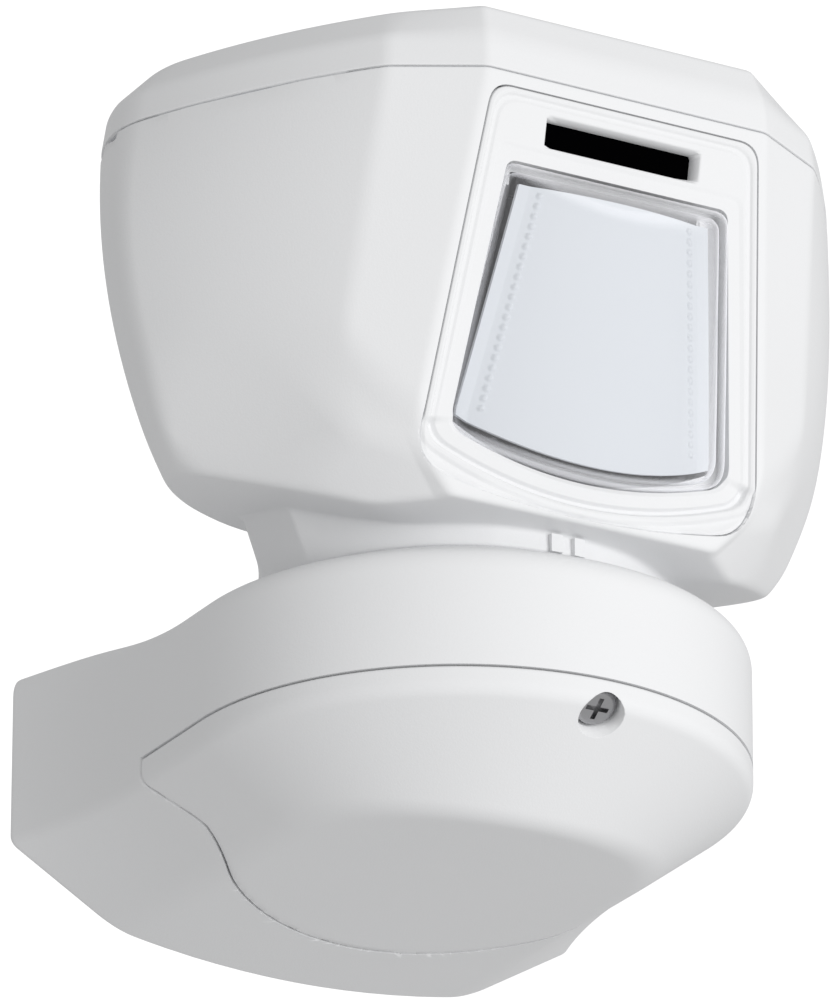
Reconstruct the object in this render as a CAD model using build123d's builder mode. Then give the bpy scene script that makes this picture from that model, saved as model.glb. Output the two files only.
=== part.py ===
from build123d import *
from math import cos, hypot, radians, sin, tan
import os

# Outdoor motion sensor: a faceted detector head that swivels on a wall bracket.
# Frame: millimetres, +Z up, front towards -Y, origin at the middle of the wall face.

# ---------------------------------------------------------------- driving sizes
WALL = 2.5              # moulded wall of the large shells
SHELL_GAP = 0.3         # gap between two shells that meet at a seam
PART_GAP = 0.3          # gap round a piece held inside another
RUN_GAP = 0.05          # radial clearance of a shaft in its bore
AXIS_Y = -62.0          # swivel axis, in front of the wall

# bracket
BRACKET_TOP = 25.0      # flat top of the bracket
NOSE_R = 53.0           # round nose, about the swivel axis
PLATE_HALF_W = 59.0     # half width at the wall
FLANK_END_Y = -38.0     # where the straight flank starts to flare
CREASE_Z = -7.5         # lower edge of the upright side wall
SEAM_Z = -3.0           # upper edge of the lower cover
FLOOR_Z = -24.0         # lowest point of the hull
FLOOR_R = 30.8          # nose radius of the hull's floor
FLOOR_HALF_W = 30.7     # half width of the hull's floor at the wall
FLOOR_BOW_R = 190.0     # bow of the floor across its width
RIM_FILLET = 5.0        # soft upper rim
COVER_BACK_Y = -45.0    # straight part of the cover's rear seam
COVER_TAIL_R = 44.0     # round tail of the cover
COVER_TAIL_Y = -66.0    # centre of that tail
COVER_TAIL_FILLET = 7.0

# wall plate
PLATE_T = 2.6
SCREW_SPACING_X = 80.0
SCREW_SPACING_Z = 22.0
SCREW_HOLE_R = 2.25
SCREW_ROW_Z = 4.0       # middle of the screw pattern
CABLE_HOLE_R = 7.0
CABLE_Z = 6.0
LUG_X = 46.0            # screws that hold the bracket body to the plate
LUG_R = 4.0
LUG_SCREW_R = 1.5

# swivel
NECK_R = 38.4           # collar of the neck on the bracket
NECK_GAP = 0.5          # seam between the collar and the bracket
BOSS_R = 24.0           # boss of the neck that turns in the bracket
BOSS_BORE_R = 17.0      # cable passage through the boss
BOSS_DEPTH = 7.0        # how far the boss reaches below the bracket's top
RING_R = 29.0           # retaining ring under the bracket's top
RING_T = 2.4
WASHER_T = 0.8
DETENT_STEP = 10.0      # degrees between the notches

# head outline: level, front, half front, chamfer corner, side corner, back corner (from the axis)
SEAM_LEVEL = 105.7
FACE_LEAN = 12.1        # degrees: the front leans back towards the bottom
HEAD_FRONT = 61.1       # front face ahead of the axis, at the cap seam
HEAD_HALF_W = 73.4
HEAD_BACK = 21.0        # back face behind the axis
SHOULDER_LEVEL = 45.0
MIDDLE_LEVEL = (SEAM_LEVEL + SHOULDER_LEVEL) / 2
HEM_LEVEL = 40.0         # lower edge of the sides and back
UNDER_LEVEL = 29.5       # lower edge of the chin under the window
SIDE_BULGE = 0.042      # bow of the side faces, as a share of their length
CORNER_BULGE = 0.21
CAP_BAND = 6.3          # upright band of the cap
CAP_HEIGHT = 14.0       # whole height of the cap

# window group, measured on the leaning front face, x across and t down from the cap seam
BEZEL_TOP_T = 2.5
BEZEL_TOP_HALF = 27.6
BEZEL_LOW_T = 73.4
BEZEL_LOW_HALF = 35.2
BEZEL_BOW = 3.7
BEZEL_CORNER = 7.0      # rounding of the lower corners
BEZEL_T = 3.0
WINDOW_TOP_T = 16.0
WINDOW_TOP_HALF = 22.6
WINDOW_LOW_T = 65.4
WINDOW_LOW_HALF = 28.6
WINDOW_BOW = 5.0
WINDOW_CORNER = 3.0
WINDOW_BULGE = 5.0
WINDOW_T = 1.8
WINDOW_LIP = 2.5
LENS_TOP_T = 19.5
LENS_TOP_HALF = 17.2
LENS_LOW_T = 61.5
LENS_BOW = 5.2
LENS_LOW_HALF = 23.7
LENS_DEPTH = 3.6        # edges of the lens sheet behind the front face
LENS_BULGE = 5.0
LENS_T = 0.8
SLOT_TOP_T = 6.8
SLOT_LOW_T = 11.6
SLOT_HALF = 15.4
SLOT_T = 2.0

# optics tilt
PIVOT_T = 15.5          # pivot of the optics chassis, on the front face's scale
PIVOT_DEPTH = 9.0       # behind the front face
PIVOT_R = 1.5

# cover screw
SCREW_R_AT = 50.5       # where the screw's axis leaves the nose, from the swivel axis
SCREW_TILT = 36.6       # degrees from the vertical: square to the nose's slope
COUNTERBORE_R = 4.3
COUNTERBORE_DEPTH = 5.0
SCREW_HEAD_R = 3.7
SCREW_HEAD_T = 2.4
SCREW_SHANK_R = 1.9
SCREW_SHANK_L = 11.0


# small pieces in the bracket
CABLE_BORE_R = 4.0
TERMINAL_PITCH = 5.0
TERMINAL_WAYS = 6
TAMPER_R = 1.6
TAMPER_X = 37.0         # bracket tamper switch, above the lower cover
TAMPER_Y = 10.0         # behind the swivel axis
TAMPER_LOW = 2.0
TAMPER_BODY = 8.0
TAMPER_REACH = 4.0      # plunger below its switch
SENSOR_BOARD_T = 1.2
RING_SCREW_PCR = 20.5   # retaining ring screws, from the swivel axis

# rear cover of the head
REAR_HALF = 38.0
REAR_TOP = 96.0
REAR_LOW = 56.0
REAR_JOIN_Y = 4.0       # the opening starts this far behind the swivel axis


# more of the head
TONGUE_DEPTH = 3.0
CAP_SCREW_R = 1.6
CAP_SCREW_Y = 9.0       # behind the swivel axis
CAP_TAMPER_X = -30.0
CAP_TAMPER_Y = -6.0
GASKET_T = 0.6
SLOT_LIP = 1.2
LEDGE_T = 2.4
REAR_SCREW_R = 1.3
REAR_SCREW_IN = 4.5
LUG_AT = 21.0           # pivot lugs, from the middle
LUG_T = 3.0
BOARD_Y = 1.0           # front of the main board, behind the swivel axis
BOARD_T = 1.6
BOARD_HALF = 42.0
BOARD_LOW = 52.0
BOARD_HIGH = 100.0
CELL_R = 8.5
CELL_L = 34.5
CELL_X = 44.0
CELL_Y = -18.0
CELL_Z = 60.5
HOLDER_T = 1.5
CHASSIS_DEPTH = 16.0
EAR_T = 2.0


def save(piece, label):
    """Name a finished piece and write it as one file."""
    piece.part.label = label
    export_step(piece.part, f"parts/{label}.step")


os.makedirs("parts", exist_ok=True)


# ---------------------------------------------------------------- shared outlines
def bracket_outline(half_w, nose_r, inset=0.0, back_y=0.0):
    """Plan of the bracket: round nose, straight flanks, flare to the wall."""
    nose = nose_r - inset
    with BuildSketch() as plan:
        with BuildLine():
            Line((0, back_y), (half_w - inset, back_y))
            TangentArc((nose, FLANK_END_Y), (half_w - inset, back_y), tangent=(0, 1))
            Line((nose, AXIS_Y), (nose, FLANK_END_Y))
            ThreePointArc(
                (nose, AXIS_Y),
                (nose * cos(radians(45)), AXIS_Y - nose * sin(radians(45))),
                (0, AXIS_Y - nose),
            )
            mirror(about=Plane.YZ)
        make_face()
    return plan.sketch


def cover_region(grow):
    """Plan of what belongs to the lower cover, grown or shrunk by half the seam."""
    with BuildSketch() as region:
        with Locations((0, COVER_BACK_Y - 60)):
            Rectangle(150, 120)
        with Locations((0, COVER_TAIL_Y)):
            Circle(COVER_TAIL_R)
        inner = region.vertices().filter_by(
            lambda v: abs(v.Y - COVER_BACK_Y) < 0.01 and abs(v.X) < COVER_TAIL_R
        )
        fillet(inner, radius=COVER_TAIL_FILLET)
        offset(amount=grow)
    return region.sketch


def inset_points(points, inset):
    """Move every side of a closed polygon inwards by the same distance."""
    moved = []
    count = len(points)
    for i in range(count):
        before, here, after = points[i - 1], points[i], points[(i + 1) % count]
        sides = []
        for start, end in ((before, here), (here, after)):
            length = hypot(end[0] - start[0], end[1] - start[1])
            normal = (-(end[1] - start[1]) / length, (end[0] - start[0]) / length)
            sides.append((normal, normal[0] * here[0] + normal[1] * here[1] + inset))
        (n1, c1), (n2, c2) = sides
        det = n1[0] * n2[1] - n1[1] * n2[0]
        moved.append(((c1 * n2[1] - c2 * n1[1]) / det, (n1[0] * c2 - n2[0] * c1) / det))
    return moved


def front_at(level):
    """Distance of the leaning front face ahead of the swivel axis at a level."""
    return HEAD_FRONT - (SEAM_LEVEL - level) * tan(radians(FACE_LEAN))


def head_points(front, front_half, chamfer, side, back, inset=0.0):
    """Eight corners of the head's plan, anticlockwise, from the left front corner."""
    right = [(front_half, -front), chamfer, side, back]
    left = [(-x, y) for x, y in reversed(right)]
    return inset_points(right + left, inset)


def head_outline(points, level):
    """Plan of the head at one level: flat front and chamfers, bowed sides, round back corners."""
    bulge = {1: SIDE_BULGE, 2: CORNER_BULGE, 4: CORNER_BULGE, 5: SIDE_BULGE}
    placed = [(x, y + AXIS_Y) for x, y in points]
    with BuildSketch(Plane.XY.offset(level)) as plan:
        with BuildLine():
            for i in range(8):
                start, end = placed[i], placed[(i + 1) % 8]
                if i in bulge:
                    middle = (
                        (start[0] + end[0]) / 2 + (end[1] - start[1]) * bulge[i],
                        (start[1] + end[1]) / 2 - (end[0] - start[0]) * bulge[i],
                    )
                    ThreePointArc(start, middle, end)
                else:
                    Line(start, end)
        make_face()
    return plan.sketch


def seam_points(inset=0.0):
    """Head corners at the cap seam."""
    return head_points(
        HEAD_FRONT, 28.9, (44.7, -HEAD_FRONT + 8.9), (HEAD_HALF_W, -6.0), (50.0, HEAD_BACK), inset
    )


def middle_points(inset=0.0):
    """Head corners halfway up, where the sides swell."""
    return head_points(
        front_at(MIDDLE_LEVEL), 32.15, (46.55, -46.1), (HEAD_HALF_W + 0.1, -7.1), (47.2, HEAD_BACK - 4.5), inset
    )


def shoulder_points(inset=0.0):
    """Head corners at the shoulder, where the underside starts."""
    return head_points(
        front_at(SHOULDER_LEVEL), 35.4, (48.4, -40.0), (HEAD_HALF_W - 8.4, -9.0),
        (42.0, HEAD_BACK - 9.0), inset,
    )


def hem_points(inset=0.0):
    """Head corners at the hem, below the soft bevel of the shoulder."""
    return head_points(
        front_at(HEM_LEVEL), 34.0, (44.0, -38.6), (HEAD_HALF_W - 12.4, -8.5), (40.5, HEAD_BACK - 8.8), inset
    )


def under_points(inset=0.0):
    """Corners of the chin's bottom, which the underside runs down to."""
    return head_points(
        front_at(UNDER_LEVEL), 29.5, (38.0, -41.0), (39.5, -34.5), (27.7, -29.0), inset
    )


NECK_TOP = 44.0
NECK_BOTTOM = BRACKET_TOP + NECK_GAP
NECK_CORNERS = ((14.0, -37.0), (33.2, -24.8), (47.0, -14.0), (45.3, 3.0), (26.0, 12.0))


def neck_outline(level, round_collar, inset=0.0):
    """Plan of the neck: a circle at the collar, ten-sided with two cheeks at its top."""
    right = list(NECK_CORNERS)
    points = inset_points(right + [(-x, y) for x, y in reversed(right)], inset)
    placed = [(x, y + AXIS_Y) for x, y in points]
    collar = NECK_R - inset
    with BuildSketch(Plane.XY.offset(level)) as plan:
        with BuildLine():
            for i in range(len(points)):
                start, end = points[i], points[(i + 1) % len(points)]
                if round_collar:
                    arc = []
                    middle = ((start[0] + end[0]) / 2, (start[1] + end[1]) / 2)
                    for x, y in (start, middle, end):
                        share = collar / hypot(x, y)
                        arc.append((x * share, y * share + AXIS_Y))
                    ThreePointArc(*arc)
                else:
                    Line(placed[i], placed[(i + 1) % len(points)])
        make_face()
    return plan.sketch


# the leaning front face: local x across, local y up the face, local z outwards
FACE = Plane(
    origin=(0, AXIS_Y - HEAD_FRONT, SEAM_LEVEL),
    x_dir=(1, 0, 0),
    z_dir=(0, -cos(radians(FACE_LEAN)), -sin(radians(FACE_LEAN))),
)


def face_outline(top_t, top_half, low_t, low_half, bow, grow=0.0, corner=0.0):
    """Outline on the front face: straight top and sides, bottom bowed down, lower corners rounded."""
    slope = (low_half - top_half) / (low_t - top_t)
    top, low = top_t - grow, low_t + grow
    half_top = top_half - slope * grow + grow
    half_low = low_half + slope * grow + grow
    with BuildSketch() as outline:
        with BuildLine():
            Polyline((-half_low, -low), (-half_top, -top), (half_top, -top), (half_low, -low))
            if bow:
                ThreePointArc((half_low, -low), (0, -low - bow), (-half_low, -low))
            else:
                Line((half_low, -low), (-half_low, -low))
        make_face()
        if corner:
            fillet(outline.vertices().sort_by(Axis.Y)[:2], radius=corner + grow)
    return outline.sketch


def bulge_radius(half, rise):
    """Radius of an arc over a half width with a given rise."""
    return (half * half + rise * rise) / (2 * rise)


def face_block(sketch, low, high, centre_half, rise, edge_depth, skin=0.0):
    """Block over an outline, from low to high along the face's normal, its front rounded across."""
    radius = bulge_radius(centre_half, rise)
    with BuildPart() as block:
        with BuildSketch(FACE.offset(low)):
            add(sketch)
        extrude(amount=high - low)
        with BuildPart(mode=Mode.PRIVATE) as drum:
            with BuildSketch(
                Plane(
                    origin=FACE.from_local_coords((0, 20, rise - edge_depth - radius)),
                    x_dir=(1, 0, 0),
                    z_dir=FACE.y_dir,
                )
            ):
                Circle(radius - skin)
            extrude(amount=-140)
        add(drum.part, mode=Mode.INTERSECT)
    return block.part


# ---------------------------------------------------------------- bracket hull
with BuildPart() as hull:
    with BuildSketch(Plane.XY.offset(CREASE_Z)):
        add(bracket_outline(PLATE_HALF_W, NOSE_R))
    extrude(amount=BRACKET_TOP - CREASE_Z)
    rim = hull.faces().sort_by(Axis.Z)[-1].edges().filter_by(lambda e: e.center().Y < -1)
    fillet(rim, radius=RIM_FILLET)
    with BuildSketch(Plane.XY.offset(CREASE_Z)):
        add(bracket_outline(PLATE_HALF_W, NOSE_R))
    with BuildSketch(Plane.XY.offset(FLOOR_Z)):
        add(bracket_outline(FLOOR_HALF_W, FLOOR_R))
    loft(ruled=True)
    with BuildPart(mode=Mode.PRIVATE) as bow:
        with BuildSketch(Plane.XZ.offset(-10)):
            with Locations((0, FLOOR_Z + FLOOR_BOW_R)):
                Circle(FLOOR_BOW_R)
        extrude(amount=160)
    add(bow.part, mode=Mode.INTERSECT)

with BuildPart() as hull_cavity:
    with BuildSketch(Plane.XY.offset(CREASE_Z)):
        add(bracket_outline(PLATE_HALF_W, NOSE_R, WALL, 1.0))
    extrude(amount=BRACKET_TOP - WALL - CREASE_Z)
    with BuildSketch(Plane.XY.offset(CREASE_Z)):
        add(bracket_outline(PLATE_HALF_W, NOSE_R, WALL, 1.0))
    with BuildSketch(Plane.XY.offset(FLOOR_Z + WALL + 1.2)):
        add(bracket_outline(FLOOR_HALF_W, FLOOR_R, 0.6, 1.0))
    loft(ruled=True)

SCREW_AXIS = Plane(
    origin=(0, AXIS_Y - SCREW_R_AT, CREASE_Z - (NOSE_R - SCREW_R_AT) / tan(radians(90 - SCREW_TILT))),
    x_dir=(1, 0, 0),
    z_dir=(0, -sin(radians(SCREW_TILT)), -cos(radians(SCREW_TILT))),
)
BORE_R = BOSS_R + RUN_GAP
HEAD_SEAT = -COUNTERBORE_DEPTH

# ---------------------------------------------------------------- bracket body
with BuildPart() as bracket_body:
    add(hull.part)
    add(hull_cavity.part, mode=Mode.SUBTRACT)
    # opening for the lower cover
    with BuildSketch(Plane.XY.offset(SEAM_Z + SHELL_GAP / 2)):
        add(cover_region(SHELL_GAP / 2))
    extrude(amount=FLOOR_Z - SEAM_Z - 5, mode=Mode.SUBTRACT)
    # swivel bore with its thickened rim
    with BuildSketch(Plane.XY.offset(BRACKET_TOP - WALL - 1.0)):
        with Locations((0, AXIS_Y)):
            Circle(BOSS_R + 9)
    extrude(amount=WALL)
    with BuildSketch(Plane.XY.offset(BRACKET_TOP)):
        with Locations((0, AXIS_Y)):
            Circle(BORE_R)
    extrude(amount=-10, mode=Mode.SUBTRACT)
    # post that takes the cover screw
    with BuildPart(mode=Mode.PRIVATE) as post:
        with BuildSketch(SCREW_AXIS.offset(HEAD_SEAT - WALL - PART_GAP)):
            Circle(SCREW_SHANK_R + 2.4)
        extrude(amount=-60)
        with BuildSketch(Plane.XY.offset(BRACKET_TOP - WALL)):
            add(bracket_outline(PLATE_HALF_W, NOSE_R, WALL - 0.5, 0.0))
        extrude(amount=-50, mode=Mode.INTERSECT)
        with BuildSketch(Plane.XZ.offset(-AXIS_Y + RING_R + 3)):
            Rectangle(40, 80)
        extrude(amount=40, mode=Mode.INTERSECT)
        # web between the post and the nose
        with BuildSketch(Plane.YZ.offset(-WALL / 2)):
            with Locations((AXIS_Y - (RING_R + 3 + NOSE_R) / 2, (SEAM_Z + 1 + BRACKET_TOP) / 2)):
                Rectangle(NOSE_R - RING_R - 3, BRACKET_TOP - SEAM_Z - 1)
        extrude(amount=WALL)
    add(post.part)
    with BuildSketch(SCREW_AXIS.offset(HEAD_SEAT)):
        Circle(SCREW_SHANK_R + RUN_GAP)
    extrude(amount=-SCREW_SHANK_L - 3, mode=Mode.SUBTRACT)
    # pillar that carries the tamper switch
    with BuildSketch(Plane.XY.offset(BRACKET_TOP - WALL + 0.5)):
        with Locations((TAMPER_X, AXIS_Y + TAMPER_Y)):
            Rectangle(7, 7)
    extrude(amount=-BRACKET_TOP + WALL - 0.5 + TAMPER_LOW + TAMPER_BODY)
    # lugs that the plate screws pull on
    for side in (-1, 1):
        with BuildSketch(Plane.XZ.offset(PLATE_T + PART_GAP)):
            with Locations((side * LUG_X, BRACKET_TOP - WALL - LUG_R)):
                SlotCenterToCenter(LUG_R * 1.2, 2 * LUG_R, rotation=90)
        extrude(amount=4)
    add(hull.part, mode=Mode.INTERSECT)
    for side in (-1, 1):
        with BuildSketch(Plane.XZ):
            with Locations((side * LUG_X, BRACKET_TOP - WALL - LUG_R)):
                Circle(LUG_SCREW_R + RUN_GAP)
        extrude(amount=12, mode=Mode.SUBTRACT)
save(bracket_body, "bracket_body")

# ---------------------------------------------------------------- lower cover
with BuildPart() as lower_cover:
    add(hull.part)
    add(hull_cavity.part, mode=Mode.SUBTRACT)
    with BuildSketch(Plane.XY.offset(SEAM_Z - SHELL_GAP / 2)):
        add(cover_region(-SHELL_GAP / 2))
    extrude(amount=FLOOR_Z - SEAM_Z - 5, mode=Mode.INTERSECT)
    # cup round the screw
    with BuildPart(mode=Mode.PRIVATE) as cup:
        with BuildSketch(SCREW_AXIS.offset(HEAD_SEAT - WALL)):
            Circle(COUNTERBORE_R + 1.6)
        extrude(amount=COUNTERBORE_DEPTH + WALL + 8)
        add(hull.part, mode=Mode.INTERSECT)
        with BuildSketch(Plane.XY.offset(SEAM_Z - SHELL_GAP / 2)):
            add(cover_region(-SHELL_GAP / 2))
        extrude(amount=FLOOR_Z - SEAM_Z - 5, mode=Mode.INTERSECT)
    add(cup.part)
    # post that holds the tamper plunger in
    with BuildPart(mode=Mode.PRIVATE) as presser:
        with BuildSketch(Plane.XY.offset(TAMPER_LOW - TAMPER_REACH - PART_GAP)):
            with Locations((TAMPER_X, AXIS_Y + TAMPER_Y)):
                Rectangle(5, 5)
        extrude(amount=FLOOR_Z)
        add(hull.part, mode=Mode.INTERSECT)
    add(presser.part)
    with BuildSketch(SCREW_AXIS.offset(HEAD_SEAT)):
        Circle(COUNTERBORE_R)
    extrude(amount=30, mode=Mode.SUBTRACT)
    with BuildSketch(SCREW_AXIS.offset(HEAD_SEAT)):
        Circle(SCREW_SHANK_R + PART_GAP)
    extrude(amount=-12, mode=Mode.SUBTRACT)
save(lower_cover, "lower_cover")

# ---------------------------------------------------------------- cover screw
with BuildPart() as cover_screw:
    with BuildSketch(SCREW_AXIS.offset(HEAD_SEAT + RUN_GAP)):
        Circle(SCREW_HEAD_R)
    extrude(amount=SCREW_HEAD_T)
    top_edge = cover_screw.faces().sort_by(Axis(SCREW_AXIS.origin, SCREW_AXIS.z_dir))[-1].edges()
    fillet(top_edge, radius=0.8)
    with BuildSketch(SCREW_AXIS.offset(HEAD_SEAT + RUN_GAP)):
        Circle(SCREW_SHANK_R)
    extrude(amount=-SCREW_SHANK_L)
    with BuildSketch(SCREW_AXIS.offset(HEAD_SEAT + RUN_GAP + SCREW_HEAD_T)):
        Rectangle(4.4, 0.9)
        Rectangle(0.9, 4.4)
    extrude(amount=-1.3, mode=Mode.SUBTRACT)
save(cover_screw, "cover_screw")

# ---------------------------------------------------------------- wall plate
PLATE_SCREWS = [
    (x * SCREW_SPACING_X / 2, SCREW_ROW_Z + z * SCREW_SPACING_Z / 2) for x in (-1, 1) for z in (-1, 1)
]
with BuildPart() as wall_plate:
    with BuildPart(mode=Mode.PRIVATE) as plate_bound:
        with BuildSketch(Plane.XY.offset(CREASE_Z)):
            add(bracket_outline(PLATE_HALF_W, NOSE_R, WALL + PART_GAP, 1.0))
        extrude(amount=BRACKET_TOP - WALL - PART_GAP - CREASE_Z)
        with BuildSketch(Plane.XY.offset(CREASE_Z)):
            add(bracket_outline(PLATE_HALF_W, NOSE_R, WALL + PART_GAP, 1.0))
        with BuildSketch(Plane.XY.offset(FLOOR_Z + WALL + 1.2 + PART_GAP)):
            add(bracket_outline(FLOOR_HALF_W, FLOOR_R, 0.6 + 2 * PART_GAP, 1.0))
        loft(ruled=True)
    with BuildSketch(Plane.XZ):
        Rectangle(200, 200)
    extrude(amount=PLATE_T)
    add(plate_bound.part, mode=Mode.INTERSECT)
    with BuildSketch(Plane.XZ):
        with Locations(*PLATE_SCREWS):
            Circle(SCREW_HOLE_R)
        with Locations((0, CABLE_Z)):
            Circle(CABLE_HOLE_R)
        with Locations(*[(side * LUG_X, BRACKET_TOP - WALL - LUG_R) for side in (-1, 1)]):
            Circle(LUG_SCREW_R)
    extrude(amount=10, mode=Mode.SUBTRACT)
    # raised stiffening ribs on the inside
    with BuildSketch(Plane.XZ.offset(PLATE_T)):
        with Locations((-24, 4), (24, 4)):
            Rectangle(1.6, 24)
    extrude(amount=2)
save(wall_plate, "wall_plate")

# ---------------------------------------------------------------- plate screws
with BuildPart() as plate_screws:
    for side in (-1, 1):
        with BuildSketch(Plane.XZ.offset(PLATE_T + PART_GAP + 4)):
            with Locations((side * LUG_X, BRACKET_TOP - WALL - LUG_R)):
                Circle(2.6)
        extrude(amount=1.8)
        with BuildSketch(Plane.XZ.offset(PLATE_T + PART_GAP + 4 + 1.8)):
            with Locations((side * LUG_X, BRACKET_TOP - WALL - LUG_R)):
                Rectangle(3.0, 0.7)
                Rectangle(0.7, 3.0)
        extrude(amount=-0.9, mode=Mode.SUBTRACT)
        with BuildSketch(Plane.XZ.offset(0.4)):
            with Locations((side * LUG_X, BRACKET_TOP - WALL - LUG_R)):
                Circle(LUG_SCREW_R - 0.02)
        extrude(amount=PLATE_T + PART_GAP + 4)
save(plate_screws, "plate_screws")

# ---------------------------------------------------------------- cable grommet
with BuildPart() as cable_grommet:
    with BuildSketch(Plane.XZ.offset(0.2)):
        with Locations((0, CABLE_Z)):
            Circle(CABLE_HOLE_R - RUN_GAP)
            Circle(CABLE_BORE_R, mode=Mode.SUBTRACT)
    extrude(amount=PLATE_T + 2.0)
    with BuildSketch(Plane.XZ.offset(PLATE_T + PART_GAP / 3)):
        with Locations((0, CABLE_Z)):
            Circle(CABLE_HOLE_R + 1.8)
            Circle(CABLE_BORE_R, mode=Mode.SUBTRACT)
    extrude(amount=1.9)
save(cable_grommet, "cable_grommet")

# ---------------------------------------------------------------- terminal block
TERMINAL_X = 0.0
TERMINAL_TOP = -3.0
with BuildPart() as terminal_block:
    with BuildSketch(Plane.XZ.offset(PLATE_T)):
        with Locations((TERMINAL_X, TERMINAL_TOP - 6)):
            Rectangle(TERMINAL_PITCH * TERMINAL_WAYS + 2, 10)
    extrude(amount=9)
    ways = [
        (TERMINAL_X + (i - (TERMINAL_WAYS - 1) / 2) * TERMINAL_PITCH, TERMINAL_TOP - 6)
        for i in range(TERMINAL_WAYS)
    ]
    with BuildSketch(Plane.XZ.offset(PLATE_T + 9)):
        with Locations(*ways):
            Circle(1.7)
    extrude(amount=-3, mode=Mode.SUBTRACT)
    with BuildSketch(Plane.XY.offset(TERMINAL_TOP - 11)):
        with Locations(*[(x, -PLATE_T - 3.2) for x, _ in ways]):
            Rectangle(2.8, 3.0)
    extrude(amount=4, mode=Mode.SUBTRACT)
save(terminal_block, "terminal_block")

with BuildPart() as terminal_screws:
    with BuildSketch(Plane.XZ.offset(PLATE_T + 9 - 2.9)):
        with Locations(*ways):
            Circle(1.65)
    extrude(amount=2)
    with BuildSketch(Plane.XZ.offset(PLATE_T + 9 - 0.9)):
        with Locations(*ways):
            Rectangle(2.4, 0.6)
    extrude(amount=-0.8, mode=Mode.SUBTRACT)
save(terminal_screws, "terminal_screws")

# ---------------------------------------------------------------- bracket tamper switch
with BuildPart() as tamper_switch:
    with BuildSketch(Plane.XY.offset(TAMPER_LOW)):
        with Locations((TAMPER_X, AXIS_Y + TAMPER_Y)):
            Rectangle(8, 8)
    extrude(amount=TAMPER_BODY)
    with BuildSketch(Plane.XY.offset(TAMPER_LOW)):
        with Locations((TAMPER_X, AXIS_Y + TAMPER_Y)):
            Circle(TAMPER_R + 1.0)
    extrude(amount=4.5, mode=Mode.SUBTRACT)
save(tamper_switch, "tamper_switch")

with BuildPart() as tamper_plunger:
    with BuildSketch(Plane.XY.offset(TAMPER_LOW + 2.0)):
        with Locations((TAMPER_X, AXIS_Y + TAMPER_Y)):
            Circle(TAMPER_R + 0.9)
    extrude(amount=-1.0)
    with BuildSketch(Plane.XY.offset(TAMPER_LOW + 1.0)):
        with Locations((TAMPER_X, AXIS_Y + TAMPER_Y)):
            Circle(TAMPER_R)
    extrude(amount=-TAMPER_REACH - 1.0)
    fillet(tamper_plunger.faces().sort_by(Axis.Z)[0].edges(), radius=0.6)
save(tamper_plunger, "tamper_plunger")

with BuildPart() as tamper_spring:
    with BuildSketch(Plane.XY.offset(TAMPER_LOW + 2.05)):
        with Locations((TAMPER_X, AXIS_Y + TAMPER_Y)):
            Circle(TAMPER_R + 0.6)
            Circle(TAMPER_R + 0.2, mode=Mode.SUBTRACT)
    extrude(amount=2.4)
save(tamper_spring, "tamper_spring")

# ---------------------------------------------------------------- head housing with its neck
with BuildPart() as housing_outer:
    add(head_outline(seam_points(), SEAM_LEVEL))
    add(head_outline(middle_points(), MIDDLE_LEVEL))
    loft(ruled=True)
    add(head_outline(middle_points(), MIDDLE_LEVEL))
    add(head_outline(shoulder_points(), SHOULDER_LEVEL))
    loft(ruled=True)
    add(head_outline(shoulder_points(), SHOULDER_LEVEL))
    add(head_outline(hem_points(), HEM_LEVEL))
    loft(ruled=True)
    add(head_outline(hem_points(), HEM_LEVEL))
    add(head_outline(under_points(), UNDER_LEVEL))
    loft(ruled=True)
    add(neck_outline(NECK_BOTTOM, True))
    add(neck_outline(NECK_TOP, False))
    loft(ruled=True)

with BuildPart() as housing_cavity:
    add(head_outline(seam_points(WALL), SEAM_LEVEL + 1))
    add(head_outline(middle_points(WALL), MIDDLE_LEVEL))
    loft(ruled=True)
    add(head_outline(middle_points(WALL), MIDDLE_LEVEL))
    add(head_outline(shoulder_points(WALL), SHOULDER_LEVEL))
    loft(ruled=True)
    add(head_outline(shoulder_points(WALL), SHOULDER_LEVEL))
    add(head_outline(hem_points(WALL + 1.5), HEM_LEVEL + WALL))
    loft(ruled=True)
    add(head_outline(hem_points(WALL + 1.5), HEM_LEVEL + WALL))
    add(head_outline(under_points(WALL), UNDER_LEVEL + 2 * WALL + 1.5))
    loft(ruled=True)

def head_cavity(inset):
    """Inside of the head above the shoulder, at a given inset."""
    with BuildPart() as space:
        add(head_outline(seam_points(inset), SEAM_LEVEL + 1))
        add(head_outline(middle_points(inset), MIDDLE_LEVEL))
        loft(ruled=True)
        add(head_outline(middle_points(inset), MIDDLE_LEVEL))
        add(head_outline(shoulder_points(inset), SHOULDER_LEVEL))
        loft(ruled=True)
    return space.part


REAR_MID = (REAR_TOP + REAR_LOW) / 2
REAR_SCREWS = [
    (x * (REAR_HALF - REAR_SCREW_IN), z + sign * REAR_SCREW_IN)
    for x in (-1, 1) for z, sign in ((REAR_LOW, 1), (REAR_TOP, -1))
]
WINDOW_FLANGE = BEZEL_T + GASKET_T
BOARD_POSTS = [(x, z) for x in (-BOARD_HALF + 4, BOARD_HALF - 4) for z in (BOARD_LOW + 4, BOARD_HIGH - 4)]

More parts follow.
